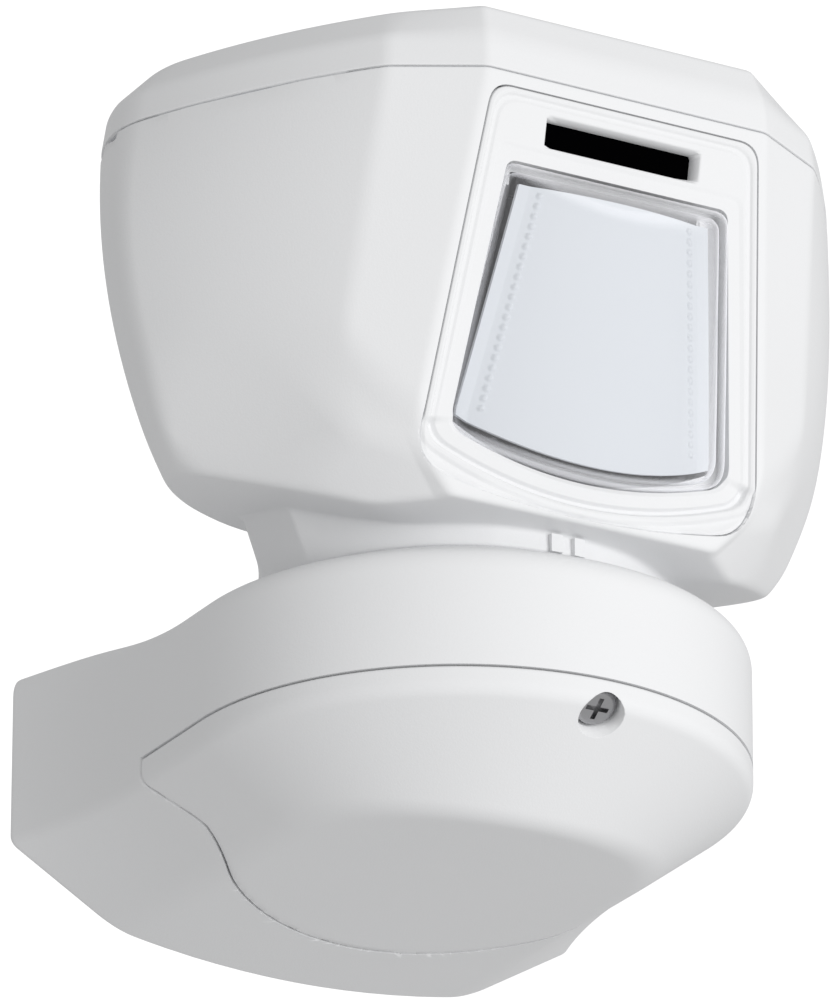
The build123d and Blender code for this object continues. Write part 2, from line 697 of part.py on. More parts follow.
with BuildPart() as head_housing:
    add(housing_outer.part)
    add(housing_cavity.part, mode=Mode.SUBTRACT)
    # boss that turns in the bracket, and the cable passage through it
    with BuildSketch(Plane.XY.offset(NECK_BOTTOM + 1)):
        with Locations((0, AXIS_Y)):
            Circle(BOSS_R)
    extrude(amount=BRACKET_TOP - BOSS_DEPTH - NECK_BOTTOM - 1)
    with BuildSketch(Plane.XY.offset(SHOULDER_LEVEL)):
        with Locations((0, AXIS_Y)):
            Circle(BOSS_BORE_R)
    extrude(amount=-40, mode=Mode.SUBTRACT)
    # thicker front wall, with the openings for the bezel, window flange and slot
    with BuildPart(mode=Mode.PRIVATE) as front_wall:
        with BuildSketch(FACE.offset(-WALL / 2)):
            add(face_outline(BEZEL_TOP_T, BEZEL_TOP_HALF, BEZEL_LOW_T, BEZEL_LOW_HALF, BEZEL_BOW, 2.0,
                             BEZEL_CORNER))
        extrude(amount=-BEZEL_T - 2.2 + WALL / 2)
        add(housing_outer.part, mode=Mode.INTERSECT)
    add(front_wall.part)
    with BuildSketch(FACE.offset(5)):
        add(face_outline(BEZEL_TOP_T, BEZEL_TOP_HALF, BEZEL_LOW_T, BEZEL_LOW_HALF, BEZEL_BOW, PART_GAP / 2,
                         BEZEL_CORNER))
    extrude(amount=-5 - BEZEL_T - PART_GAP / 2, mode=Mode.SUBTRACT)
    with BuildSketch(FACE):
        add(face_outline(WINDOW_TOP_T, WINDOW_TOP_HALF, WINDOW_LOW_T, WINDOW_LOW_HALF, WINDOW_BOW,
                         WINDOW_LIP + PART_GAP, WINDOW_CORNER))
        add(face_outline(SLOT_TOP_T, SLOT_HALF, SLOT_LOW_T, SLOT_HALF, 0, SLOT_LIP + PART_GAP))
    extrude(amount=-9, mode=Mode.SUBTRACT)
    # rear opening with the ledge that the cover is screwed to
    with BuildPart(mode=Mode.PRIVATE) as ledge:
        add(head_cavity(WALL / 2))
        add(head_cavity(WALL + LEDGE_T), mode=Mode.SUBTRACT)
        with BuildSketch(Plane.XZ.offset(-AXIS_Y - REAR_JOIN_Y)):
            with Locations((0, REAR_MID)):
                RectangleRounded(2 * REAR_HALF + 6, REAR_TOP - REAR_LOW + 6, 8)
                RectangleRounded(2 * REAR_HALF - 14, REAR_TOP - REAR_LOW - 14, 3, mode=Mode.SUBTRACT)
        extrude(amount=-40, mode=Mode.INTERSECT)
    add(ledge.part)
    with BuildPart(mode=Mode.PRIVATE) as rear_opening:
        add(housing_outer.part)
        add(head_cavity(WALL + PART_GAP / 2), mode=Mode.SUBTRACT)
        with BuildSketch(Plane.XZ.offset(-AXIS_Y - REAR_JOIN_Y)):
            with Locations((0, REAR_MID)):
                RectangleRounded(2 * REAR_HALF, REAR_TOP - REAR_LOW, 6)
        extrude(amount=-40, mode=Mode.INTERSECT)
    add(rear_opening.part, mode=Mode.SUBTRACT)
    with BuildSketch(Plane.XZ.offset(-AXIS_Y - REAR_JOIN_Y)):
        with Locations(*REAR_SCREWS):
            Circle(REAR_SCREW_R)
    extrude(amount=-40, mode=Mode.SUBTRACT)
    # lugs that hold the pivot pins of the optics
    for side in (-1, 1):
        with BuildSketch(FACE.offset(-BEZEL_T - PART_GAP / 2)):
            with Locations((side * LUG_AT, -(SLOT_TOP_T + WINDOW_TOP_T - WINDOW_LIP - 2 * PART_GAP) / 2)):
                Rectangle(LUG_T, WINDOW_TOP_T - WINDOW_LIP - 2 * PART_GAP - SLOT_TOP_T)
        extrude(amount=-PIVOT_DEPTH - 3.5 + BEZEL_T + PART_GAP / 2)
        with BuildSketch(FACE.offset(-WINDOW_FLANGE - 1.4 - PART_GAP)):
            with Locations((side * LUG_AT, -PIVOT_T)):
                Rectangle(LUG_T, 7)
        extrude(amount=-PIVOT_DEPTH - 3.5 + WINDOW_FLANGE + 1.4 + PART_GAP)
    with BuildSketch(Plane(FACE.from_local_coords((-40, 0, 0)), x_dir=FACE.y_dir, z_dir=(1, 0, 0))):
        with Locations((-PIVOT_T, -PIVOT_DEPTH)):
            Circle(PIVOT_R)
    extrude(amount=80, mode=Mode.SUBTRACT)
    # posts behind the main board
    with BuildPart(mode=Mode.PRIVATE) as posts:
        with BuildSketch(Plane.XZ.offset(-AXIS_Y - BOARD_Y - BOARD_T)):
            with Locations(*BOARD_POSTS):
                Circle(2.8)
        extrude(amount=-40)
        add(head_cavity(WALL + PART_GAP), mode=Mode.INTERSECT)
    add(posts.part)
    # boss for the cap screw, carried by a web on the rear wall
    with BuildSketch(Plane.XY.offset(SEAM_LEVEL - 0.2)):
        with Locations((0, AXIS_Y + CAP_SCREW_Y)):
            Circle(CAP_SCREW_R + 2.4)
    extrude(amount=-8)
    with BuildSketch(Plane.XY.offset(SEAM_LEVEL - TONGUE_DEPTH - 0.4)):
        with Locations((0, AXIS_Y + (CAP_SCREW_Y + HEAD_BACK - WALL) / 2 - 0.4)):
            Rectangle(5, HEAD_BACK - WALL - CAP_SCREW_Y)
    extrude(amount=-4.8)
    with BuildSketch(Plane.XY.offset(SEAM_LEVEL)):
        with Locations((0, AXIS_Y + CAP_SCREW_Y)):
            Circle(CAP_SCREW_R + RUN_GAP)
    extrude(amount=-9, mode=Mode.SUBTRACT)
    # screw holes under the boss for the retaining ring
    with BuildSketch(Plane.XY.offset(BRACKET_TOP - BOSS_DEPTH)):
        with Locations((0, AXIS_Y)):
            with PolarLocations(RING_SCREW_PCR, 3, start_angle=90):
                Circle(1.2)
    extrude(amount=7, mode=Mode.SUBTRACT)
    # two index ribs on the collar
    for angle in (-3.4, 3.4):
        with BuildSketch(Plane.XY.offset(NECK_BOTTOM)):
            with Locations((0, AXIS_Y)):
                with Locations(Rotation(0, 0, angle) * Location((0, -NECK_R, 0))):
                    Rectangle(2.2, 2.0)
        extrude(amount=3.4)
save(head_housing, "head_housing")

# ---------------------------------------------------------------- top cap
def cap_points(inset):
    """Head corners at the cap's top: the sides slope in more than the front."""
    return head_points(
        HEAD_FRONT - 3.5 * inset, 28.9 - 1.0 * inset, (44.7 - 5.0 * inset, -HEAD_FRONT + 8.9 + 4.5 * inset),
        (HEAD_HALF_W - 8.0 * inset, -6.0), (50.0 - 4.0 * inset, HEAD_BACK - 5.0 * inset),
    )


CAP_LEVEL = SEAM_LEVEL + SHELL_GAP
CAP_TOP = SEAM_LEVEL + CAP_HEIGHT
with BuildPart() as cap_outer:
    add(head_outline(cap_points(0.0), CAP_LEVEL))
    add(head_outline(cap_points(0.12), CAP_LEVEL + CAP_BAND))
    loft(ruled=True)
    add(head_outline(cap_points(0.12), CAP_LEVEL + CAP_BAND))
    add(head_outline(cap_points(1.0), CAP_TOP))
    loft(ruled=True)

with BuildPart() as cap_cavity:
    add(head_outline(seam_points(WALL), CAP_LEVEL - 1))
    add(head_outline(seam_points(WALL), CAP_LEVEL + CAP_BAND - 1))
    loft(ruled=True)
    add(head_outline(seam_points(WALL), CAP_LEVEL + CAP_BAND - 1))
    add(head_outline(seam_points(WALL + 6.0), CAP_TOP - WALL))
    loft(ruled=True)

with BuildPart() as top_cap:
    add(cap_outer.part)
    add(cap_cavity.part, mode=Mode.SUBTRACT)
    # tongue that centres the cap in the housing
    with BuildPart(mode=Mode.PRIVATE) as tongue:
        add(head_outline(seam_points(WALL + PART_GAP + 0.8), CAP_LEVEL - TONGUE_DEPTH))
        extrude(amount=TONGUE_DEPTH + 3)
        add(head_outline(seam_points(WALL - 0.5), CAP_LEVEL + 1.2))
        extrude(amount=1.8)
        add(head_outline(seam_points(WALL + PART_GAP + 2.4), CAP_LEVEL - TONGUE_DEPTH - 1))
        extrude(amount=TONGUE_DEPTH + 10, mode=Mode.SUBTRACT)
        with BuildSketch(Plane.XZ.offset(-AXIS_Y + 30)):
            with Locations((0, SEAM_LEVEL)):
                Rectangle(300, 100)
        extrude(amount=100, mode=Mode.SUBTRACT)
    add(tongue.part)
    with BuildSketch(Plane.XY.offset(CAP_LEVEL)):
        with Locations((0, AXIS_Y + CAP_SCREW_Y)):
            Circle(CAP_SCREW_R + 3.2)
    extrude(amount=CAP_HEIGHT - 1.5)
    with BuildSketch(Plane.XY.offset(CAP_TOP)):
        with Locations((0, AXIS_Y + CAP_SCREW_Y)):
            Circle(CAP_SCREW_R + 1.9)
    extrude(amount=-5, mode=Mode.SUBTRACT)
    with BuildSketch(Plane.XY.offset(CAP_TOP)):
        with Locations((0, AXIS_Y + CAP_SCREW_Y)):
            Circle(CAP_SCREW_R + PART_GAP)
    extrude(amount=-30, mode=Mode.SUBTRACT)
    # rib that presses the cap tamper plunger
    with BuildSketch(Plane.XY.offset(CAP_LEVEL + 2)):
        with Locations((CAP_TAMPER_X, AXIS_Y + CAP_TAMPER_Y)):
            Rectangle(6, 6)
    extrude(amount=CAP_HEIGHT - 2 - WALL / 2)
save(top_cap, "top_cap")

with BuildPart() as cap_screw:
    with BuildSketch(Plane.XY.offset(CAP_TOP - 5 + RUN_GAP)):
        with Locations((0, AXIS_Y + CAP_SCREW_Y)):
            Circle(CAP_SCREW_R + 1.6)
    extrude(amount=2.2)
    with BuildSketch(Plane.XY.offset(CAP_TOP - 5 + RUN_GAP + 2.2)):
        with Locations((0, AXIS_Y + CAP_SCREW_Y)):
            Rectangle(3.8, 0.8)
            Rectangle(0.8, 3.8)
    extrude(amount=-1.2, mode=Mode.SUBTRACT)
    with BuildSketch(Plane.XY.offset(CAP_TOP - 5 + RUN_GAP)):
        with Locations((0, AXIS_Y + CAP_SCREW_Y)):
            Circle(CAP_SCREW_R)
    extrude(amount=-15)
save(cap_screw, "cap_screw")

# ---------------------------------------------------------------- rear cover with gasket and screws
def rear_seat(level):
    """Seat of a rear cover screw at a level, behind the swivel axis."""
    return HEAD_BACK - (SEAM_LEVEL - level) * 9.0 / (SEAM_LEVEL - SHOULDER_LEVEL) - 1.0


with BuildPart() as rear_cover:
    add(housing_outer.part)
    with BuildSketch(Plane.XZ.offset(-AXIS_Y - REAR_JOIN_Y)):
        with Locations((0, REAR_MID)):
            RectangleRounded(2 * (REAR_HALF - PART_GAP), REAR_TOP - REAR_LOW - 2 * PART_GAP, 5.7)
    extrude(amount=-40, mode=Mode.INTERSECT)
    add(housing_cavity.part, mode=Mode.SUBTRACT)
    with BuildSketch(Plane.XZ.offset(-AXIS_Y - REAR_JOIN_Y)):
        with Locations(*REAR_SCREWS):
            Circle(REAR_SCREW_R + 0.2)
    extrude(amount=-40, mode=Mode.SUBTRACT)
    for x, z in REAR_SCREWS:
        with BuildSketch(Plane.XZ.offset(-AXIS_Y - rear_seat(z))):
            with Locations((x, z)):
                Circle(REAR_SCREW_R + 1.5)
        extrude(amount=-12, mode=Mode.SUBTRACT)
    for z in (REAR_MID - 8, REAR_MID, REAR_MID + 8):
        with BuildSketch(Plane.XZ.offset(-AXIS_Y - 30)):
            with Locations((0, z)):
                SlotOverall(30, 2.4)
        extrude(amount=18, mode=Mode.SUBTRACT)
save(rear_cover, "rear_cover")

# ---------------------------------------------------------------- window group
with BuildPart() as bezel:
    with BuildSketch(FACE):
        add(face_outline(BEZEL_TOP_T, BEZEL_TOP_HALF, BEZEL_LOW_T, BEZEL_LOW_HALF, BEZEL_BOW, -PART_GAP / 2,
                         BEZEL_CORNER))
    extrude(amount=-BEZEL_T)
    add(housing_outer.part, mode=Mode.INTERSECT)
    with BuildSketch(FACE):
        add(face_outline(WINDOW_TOP_T, WINDOW_TOP_HALF, WINDOW_LOW_T, WINDOW_LOW_HALF, WINDOW_BOW, PART_GAP,
                         WINDOW_CORNER))
    extrude(amount=-BEZEL_T, mode=Mode.SUBTRACT)
    with BuildSketch(FACE):
        add(face_outline(SLOT_TOP_T, SLOT_HALF, SLOT_LOW_T, SLOT_HALF, 0))
    extrude(amount=-BEZEL_T, mode=Mode.SUBTRACT)
    # ledge under the window
    with BuildSketch(FACE):
        add(face_outline(WINDOW_LOW_T + 0.6, WINDOW_LOW_HALF + 2, WINDOW_LOW_T + 1.6, WINDOW_LOW_HALF + 2,
                         WINDOW_BOW))
        add(face_outline(WINDOW_TOP_T, WINDOW_TOP_HALF, WINDOW_LOW_T, WINDOW_LOW_HALF, WINDOW_BOW, PART_GAP,
                         WINDOW_CORNER),
            mode=Mode.SUBTRACT)
    extrude(amount=1.6)
save(bezel, "bezel")

with BuildPart() as window_gasket:
    with BuildSketch(FACE.offset(-BEZEL_T)):
        add(face_outline(WINDOW_TOP_T, WINDOW_TOP_HALF, WINDOW_LOW_T, WINDOW_LOW_HALF, WINDOW_BOW, WINDOW_LIP,
                         WINDOW_CORNER))
        add(face_outline(WINDOW_TOP_T, WINDOW_TOP_HALF, WINDOW_LOW_T, WINDOW_LOW_HALF, WINDOW_BOW, PART_GAP,
                         WINDOW_CORNER),
            mode=Mode.SUBTRACT)
    extrude(amount=-GASKET_T)
save(window_gasket, "window_gasket")

with BuildPart() as window:
    add(face_block(
        face_outline(WINDOW_TOP_T, WINDOW_TOP_HALF, WINDOW_LOW_T, WINDOW_LOW_HALF, WINDOW_BOW,
                     0.0, WINDOW_CORNER),
        -WINDOW_FLANGE, 12, WINDOW_LOW_HALF, WINDOW_BULGE, 0.5,
    ))
    with BuildSketch(FACE.offset(-WINDOW_FLANGE)):
        add(face_outline(WINDOW_TOP_T, WINDOW_TOP_HALF, WINDOW_LOW_T, WINDOW_LOW_HALF, WINDOW_BOW, WINDOW_LIP,
                         WINDOW_CORNER))
    extrude(amount=-1.4)
    add(face_block(
        face_outline(WINDOW_TOP_T, WINDOW_TOP_HALF, WINDOW_LOW_T, WINDOW_LOW_HALF, WINDOW_BOW, -WINDOW_T,
                     WINDOW_CORNER),
        -WINDOW_FLANGE - 3, 12, WINDOW_LOW_HALF, WINDOW_BULGE, 0.5, WINDOW_T,
    ), mode=Mode.SUBTRACT)
save(window, "window")

with BuildPart() as slot_window:
    with BuildSketch(FACE.offset(-BEZEL_T)):
        add(face_outline(SLOT_TOP_T, SLOT_HALF, SLOT_LOW_T, SLOT_HALF, 0, SLOT_LIP))
    extrude(amount=-SLOT_T)
save(slot_window, "slot_window")

# ---------------------------------------------------------------- optics that tilt
with BuildPart() as lens_sheet:
    add(face_block(
        face_outline(LENS_TOP_T, LENS_TOP_HALF, LENS_LOW_T, LENS_LOW_HALF, LENS_BOW),
        -LENS_DEPTH - 0.9, 12, LENS_LOW_HALF, LENS_BULGE, LENS_DEPTH,
    ))
    add(face_block(
        face_outline(LENS_TOP_T, LENS_TOP_HALF + 5, LENS_LOW_T, LENS_LOW_HALF + 5, LENS_BOW, 1),
        -LENS_DEPTH - 5, 12, LENS_LOW_HALF, LENS_BULGE, LENS_DEPTH, LENS_T,
    ), mode=Mode.SUBTRACT)
save(lens_sheet, "lens_sheet")

FRAME_DEPTH = LENS_DEPTH + 1.0 + PART_GAP / 3
with BuildPart() as optics_chassis:
    with BuildSketch(FACE.offset(-FRAME_DEPTH)):
        add(face_outline(LENS_TOP_T - 1.6, LENS_TOP_HALF, LENS_LOW_T + 1.0, LENS_LOW_HALF, LENS_BOW))
    extrude(amount=-CHASSIS_DEPTH)
    with BuildSketch(FACE.offset(-FRAME_DEPTH)):
        add(face_outline(LENS_TOP_T, LENS_TOP_HALF, LENS_LOW_T, LENS_LOW_HALF, LENS_BOW, -1.4))
    extrude(amount=-CHASSIS_DEPTH + 1.6, mode=Mode.SUBTRACT)
    # ears that turn on the pivot pins
    for side in (-1, 1):
        with BuildSketch(Plane(FACE.from_local_coords((side * (LENS_TOP_HALF - 1.2), 0, 0)), x_dir=FACE.y_dir,
                               z_dir=(side, 0, 0))):
            with Locations((-PIVOT_T, -side * PIVOT_DEPTH)):
                Circle(PIVOT_R + 2.0)
            with Locations((-PIVOT_T - 3.0, -side * PIVOT_DEPTH)):
                Rectangle(4.0, 2 * PIVOT_R + 4.0)
        extrude(amount=EAR_T)
        with BuildSketch(Plane(FACE.from_local_coords((0, 0, 0)), x_dir=FACE.y_dir, z_dir=(side, 0, 0))):
            with Locations((-PIVOT_T, -side * PIVOT_DEPTH)):
                Circle(PIVOT_R + RUN_GAP)
        extrude(amount=40, mode=Mode.SUBTRACT)
save(optics_chassis, "optics_chassis")

# ---------------------------------------------------------------- pivot pins
with BuildPart() as pivot_pins:
    for side in (-1, 1):
        with BuildSketch(Plane(FACE.from_local_coords((side * (LENS_TOP_HALF - 1.6), 0, 0)), x_dir=FACE.y_dir,
                               z_dir=(side, 0, 0))):
            with Locations((-PIVOT_T, -side * PIVOT_DEPTH)):
                Circle(PIVOT_R)
        extrude(amount=LUG_AT + LUG_T / 2 - LENS_TOP_HALF + 1.6)
save(pivot_pins, "pivot_pins")

# ---------------------------------------------------------------- sensor board with what it carries
SENSOR_BOARD_DEPTH = FRAME_DEPTH + CHASSIS_DEPTH - 1.6
SENSOR_MID_T = (LENS_TOP_T + LENS_LOW_T) / 2
with BuildPart() as sensor_board:
    with BuildSketch(FACE.offset(-SENSOR_BOARD_DEPTH + SENSOR_BOARD_T)):
        with Locations((0, -SENSOR_MID_T)):
            Rectangle(28, 34)
    extrude(amount=-SENSOR_BOARD_T)
save(sensor_board, "sensor_board")

with BuildPart() as pyro_sensors:
    with BuildSketch(FACE.offset(-SENSOR_BOARD_DEPTH + SENSOR_BOARD_T)):
        with Locations((0, -SENSOR_MID_T + 8), (0, -SENSOR_MID_T - 8)):
            Circle(4.1)
    extrude(amount=3.6)
    with BuildSketch(FACE.offset(-SENSOR_BOARD_DEPTH + SENSOR_BOARD_T)):
        with Locations((0, -SENSOR_MID_T + 8), (0, -SENSOR_MID_T - 8)):
            Circle(4.7)
    extrude(amount=0.6)
    with BuildSketch(FACE.offset(-SENSOR_BOARD_DEPTH + SENSOR_BOARD_T + 3.6)):
        with Locations((0, -SENSOR_MID_T + 8), (0, -SENSOR_MID_T - 8)):
            Rectangle(4.4, 3.2)
    extrude(amount=-0.4, mode=Mode.SUBTRACT)
save(pyro_sensors, "pyro_sensors")

with BuildPart() as status_led:
    with BuildSketch(FACE.offset(-SENSOR_BOARD_DEPTH + SENSOR_BOARD_T)):
        with Locations((0, -SENSOR_MID_T)):
            Circle(1.5)
    extrude(amount=3.4)
    fillet(status_led.faces().sort_by(Axis(FACE.origin, FACE.z_dir))[-1].edges(), radius=1.2)
save(status_led, "status_led")

with BuildPart() as mirror_block:
    with BuildSketch(Plane(FACE.from_local_coords((-10, 0, 0)), x_dir=FACE.y_dir, z_dir=(1, 0, 0))):
        low = -(LENS_LOW_T - 1.4 - PART_GAP / 2)
        near = -(FRAME_DEPTH + 2)
        far = -(SENSOR_BOARD_DEPTH - SENSOR_BOARD_T - PART_GAP)
        with BuildLine():
            Polyline((low + 1.2, near), (low, near), (low, far), (low + 6, far))
            ThreePointArc((low + 6, far), (low + 2.2, (near + far) / 2 - 0.4), (low + 1.2, near))
        make_face()
    extrude(amount=20)
save(mirror_block, "mirror_block")

# ---------------------------------------------------------------- main board and radio module
with BuildPart() as main_board:
    with BuildSketch(Plane.XZ.offset(-AXIS_Y - BOARD_Y)):
        with Locations((0, (BOARD_LOW + BOARD_HIGH) / 2)):
            RectangleRounded(2 * BOARD_HALF, BOARD_HIGH - BOARD_LOW, 2)
    extrude(amount=-BOARD_T)
    with BuildSketch(Plane.XZ.offset(-AXIS_Y - BOARD_Y)):
        with Locations(*BOARD_POSTS):
            Circle(1.5)
    extrude(amount=-BOARD_T, mode=Mode.SUBTRACT)
save(main_board, "main_board")

with BuildPart() as board_parts:
    for x, z, wide, high, tall in (
        (-14, 66, 9, 9, 1.4), (6, 64, 6, 5, 1.2), (20, 60, 5, 8, 3.0), (-26, 60, 7, 5, 2.2), (26, 76, 5, 5, 1.6),
    ):
        with BuildSketch(Plane.XZ.offset(-AXIS_Y - BOARD_Y)):
            with Locations((x, z)):
                Rectangle(wide, high)
        extrude(amount=tall)
save(board_parts, "board_parts")

with BuildPart() as radio_module:
    with BuildSketch(Plane.XZ.offset(-AXIS_Y - BOARD_Y)):
        with Locations((4, 88)):
            Rectangle(26, 16)
    extrude(amount=1.0)
    with BuildSketch(Plane.XZ.offset(-AXIS_Y - BOARD_Y + 1.0)):
        with Locations((1, 88)):
            Rectangle(15, 12)
    extrude(amount=2.2)
save(radio_module, "radio_module")

with BuildPart() as aerial:
    with BuildSketch(Plane.XY.offset(84)):
        with Locations((14.5, AXIS_Y + BOARD_Y - 1.0 - 0.7)):
            Circle(0.7)
    extrude(amount=20)
save(aerial, "aerial")

# ---------------------------------------------------------------- battery holders, cells and contacts
with BuildPart() as battery_holders:
    for side in (-1, 1):
        with BuildSketch(Plane.XY.offset(CELL_Z - 4)):
            with Locations((side * CELL_X, AXIS_Y + CELL_Y)):
                Circle(CELL_R + PART_GAP + HOLDER_T)
        extrude(amount=CELL_L - 6)
        with BuildSketch(Plane.XY.offset(CELL_Z - 4 + HOLDER_T)):
            with Locations((side * CELL_X, AXIS_Y + CELL_Y)):
                Circle(CELL_R + PART_GAP)
        extrude(amount=CELL_L, mode=Mode.SUBTRACT)
        with BuildSketch(Plane.XY.offset(CELL_Z + 6)):
            with Locations((side * (CELL_X - 8), AXIS_Y + CELL_Y)):
                Rectangle(10, 9)
        extrude(amount=CELL_L, mode=Mode.SUBTRACT)
        # foot that screws to the main board
        with BuildSketch(Plane.XY.offset(CELL_Z - 4)):
            with Locations((side * 37, AXIS_Y + (BOARD_Y + CELL_Y + CELL_R) / 2)):
                Rectangle(7, BOARD_Y - CELL_Y - CELL_R - 0.1)
        extrude(amount=HOLDER_T)
save(battery_holders, "battery_holders")

with BuildPart() as battery_cells:
    for side in (-1, 1):
        with BuildSketch(Plane.XY.offset(CELL_Z)):
            with Locations((side * CELL_X, AXIS_Y + CELL_Y)):
                Circle(CELL_R)
        extrude(amount=CELL_L - 1.2)
        with BuildSketch(Plane.XY.offset(CELL_Z)):
            with Locations((side * CELL_X, AXIS_Y + CELL_Y)):
                Circle(3.2)
        extrude(amount=CELL_L)
save(battery_cells, "battery_cells")

with BuildPart() as battery_contacts:
    for side in (-1, 1):
        with BuildSketch(Plane.XY.offset(CELL_Z - 4 + HOLDER_T)):
            with Locations((side * CELL_X, AXIS_Y + CELL_Y)):
                Circle(5.5)
        with BuildSketch(Plane.XY.offset(CELL_Z)):
            with Locations((side * CELL_X, AXIS_Y + CELL_Y)):
                Circle(3.0)
        loft()
        with BuildSketch(Plane.XY.offset(CELL_Z + CELL_L)):
            with Locations((side * CELL_X, AXIS_Y + CELL_Y)):
                Circle(3.6)
            with Locations((side * CELL_X, AXIS_Y + (CELL_Y + BOARD_Y) / 2)):
                Rectangle(4, BOARD_Y - CELL_Y)
        extrude(amount=0.5)
save(battery_contacts, "battery_contacts")

# ---------------------------------------------------------------- cap tamper switch
with BuildPart() as cap_switch:
    with BuildSketch(Plane.XY.offset(BOARD_HIGH - 10)):
        with Locations((CAP_TAMPER_X, AXIS_Y + (CAP_TAMPER_Y + BOARD_Y) / 2 - 2)):
            Rectangle(8, BOARD_Y - CAP_TAMPER_Y + 4)
    extrude(amount=9)
    with BuildSketch(Plane.XY.offset(BOARD_HIGH - 1)):
        with Locations((CAP_TAMPER_X, AXIS_Y + CAP_TAMPER_Y)):
            Circle(TAMPER_R + 1.0)
    extrude(amount=-5.5, mode=Mode.SUBTRACT)
save(cap_switch, "cap_switch")

PLUNGER_TOP = CAP_LEVEL + 2 - PART_GAP
with BuildPart() as cap_plunger:
    with BuildSketch(Plane.XY.offset(BOARD_HIGH - 3)):
        with Locations((CAP_TAMPER_X, AXIS_Y + CAP_TAMPER_Y)):
            Circle(TAMPER_R + 0.9)
    extrude(amount=1)
    with BuildSketch(Plane.XY.offset(BOARD_HIGH - 3)):
        with Locations((CAP_TAMPER_X, AXIS_Y + CAP_TAMPER_Y)):
            Circle(TAMPER_R)
    extrude(amount=PLUNGER_TOP - BOARD_HIGH + 3)
    fillet(cap_plunger.faces().sort_by(Axis.Z)[-1].edges(), radius=0.6)
save(cap_plunger, "cap_plunger")

with BuildPart() as cap_spring:
    with BuildSketch(Plane.XY.offset(BOARD_HIGH - 6.45)):
        with Locations((CAP_TAMPER_X, AXIS_Y + CAP_TAMPER_Y)):
            Circle(TAMPER_R + 0.6)
            Circle(TAMPER_R + 0.2, mode=Mode.SUBTRACT)
    extrude(amount=3.4)
save(cap_spring, "cap_spring")

# ---------------------------------------------------------------- rear cover screws
with BuildPart() as rear_screws:
    for x, z in REAR_SCREWS:
        back = rear_seat(z) + 0.02
        with BuildSketch(Plane.XZ.offset(-AXIS_Y - back)):
            with Locations((x, z)):
                Circle(REAR_SCREW_R + 1.3)
        extrude(amount=-1.6)
        with BuildSketch(Plane.XZ.offset(-AXIS_Y - back - 1.6)):
            with Locations((x, z)):
                Rectangle(3.0, 0.7)
                Rectangle(0.7, 3.0)
        extrude(amount=0.9, mode=Mode.SUBTRACT)
        with BuildSketch(Plane.XZ.offset(-AXIS_Y - back)):
            with Locations((x, z)):
                Circle(REAR_SCREW_R - 0.02)
        extrude(amount=WALL + LEDGE_T)
save(rear_screws, "rear_screws")

# ---------------------------------------------------------------- swivel fixings
RIM_LOW = BRACKET_TOP - WALL - 1.0
BOSS_LOW = BRACKET_TOP - BOSS_DEPTH
with BuildPart() as friction_washer:
    with BuildSketch(Plane.XY.offset(RIM_LOW - 0.1)):
        with Locations((0, AXIS_Y)):
            Circle(RING_R)
            Circle(BOSS_R + PART_GAP, mode=Mode.SUBTRACT)
    extrude(amount=-WASHER_T)
save(friction_washer, "friction_washer")

with BuildPart() as retaining_ring:
    with BuildSketch(Plane.XY.offset(BOSS_LOW)):
        with Locations((0, AXIS_Y)):
            Circle(RING_R)
            Circle(BOSS_BORE_R, mode=Mode.SUBTRACT)
    extrude(amount=-RING_T)
    with BuildSketch(Plane.XY.offset(BOSS_LOW)):
        with Locations((0, AXIS_Y)):
            Circle(RING_R)
            Circle(BOSS_R + PART_GAP, mode=Mode.SUBTRACT)
    extrude(amount=RIM_LOW - 0.1 - WASHER_T - BOSS_LOW)
    # notches that give the swivel its steps
    with BuildSketch(Plane.XY.offset(BOSS_LOW - RING_T)):
        with Locations((0, AXIS_Y)):
            with PolarLocations(RING_R + 0.5, int(360 / DETENT_STEP), start_angle=DETENT_STEP / 2):
                Circle(1.3)
    extrude(amount=RING_T + 8, mode=Mode.SUBTRACT)
    with BuildSketch(Plane.XY.offset(BOSS_LOW)):
        with Locations((0, AXIS_Y)):
            with PolarLocations(RING_SCREW_PCR, 3, start_angle=90):
                Circle(1.4)
    extrude(amount=-RING_T, mode=Mode.SUBTRACT)
save(retaining_ring, "retaining_ring")

with BuildPart() as ring_screws:
    with BuildSketch(Plane.XY.offset(BOSS_LOW - RING_T)):
        with Locations((0, AXIS_Y)):
            with PolarLocations(RING_SCREW_PCR, 3, start_angle=90):
                Circle(2.4)
    extrude(amount=-1.6)
    with BuildSketch(Plane.XY.offset(BOSS_LOW - RING_T - 1.6)):
        with Locations((0, AXIS_Y)):
            with PolarLocations(RING_SCREW_PCR, 3, start_angle=90):
                Rectangle(2.8, 0.7)
                Rectangle(0.7, 2.8)
    extrude(amount=0.9, mode=Mode.SUBTRACT)
    with BuildSketch(Plane.XY.offset(BOSS_LOW - RING_T)):
        with Locations((0, AXIS_Y)):
            with PolarLocations(RING_SCREW_PCR, 3, start_angle=90):
                Circle(1.18)
    extrude(amount=RING_T + 6)
save(ring_screws, "ring_screws")

with BuildPart() as detent_spring:
    with BuildSketch(Plane.XY.offset(BRACKET_TOP - WALL)):
        with Locations((0, AXIS_Y + RING_R + 6.5)):
            Rectangle(12, 3)
    extrude(amount=-1.0)
    with BuildSketch(Plane.XY.offset(BRACKET_TOP - WALL - 1.0)):
        with Locations((0, AXIS_Y + RING_R + 5.4)):
            Rectangle(8, 0.8)
    extrude(amount=-6)
    with BuildSketch(Plane.XY.offset(BRACKET_TOP - WALL - 4.6)):
        with Locations((0, AXIS_Y + RING_R + 2.65)):
            Rectangle(2.0, 5.0)
    extrude(amount=-1.6)
save(detent_spring, "detent_spring")

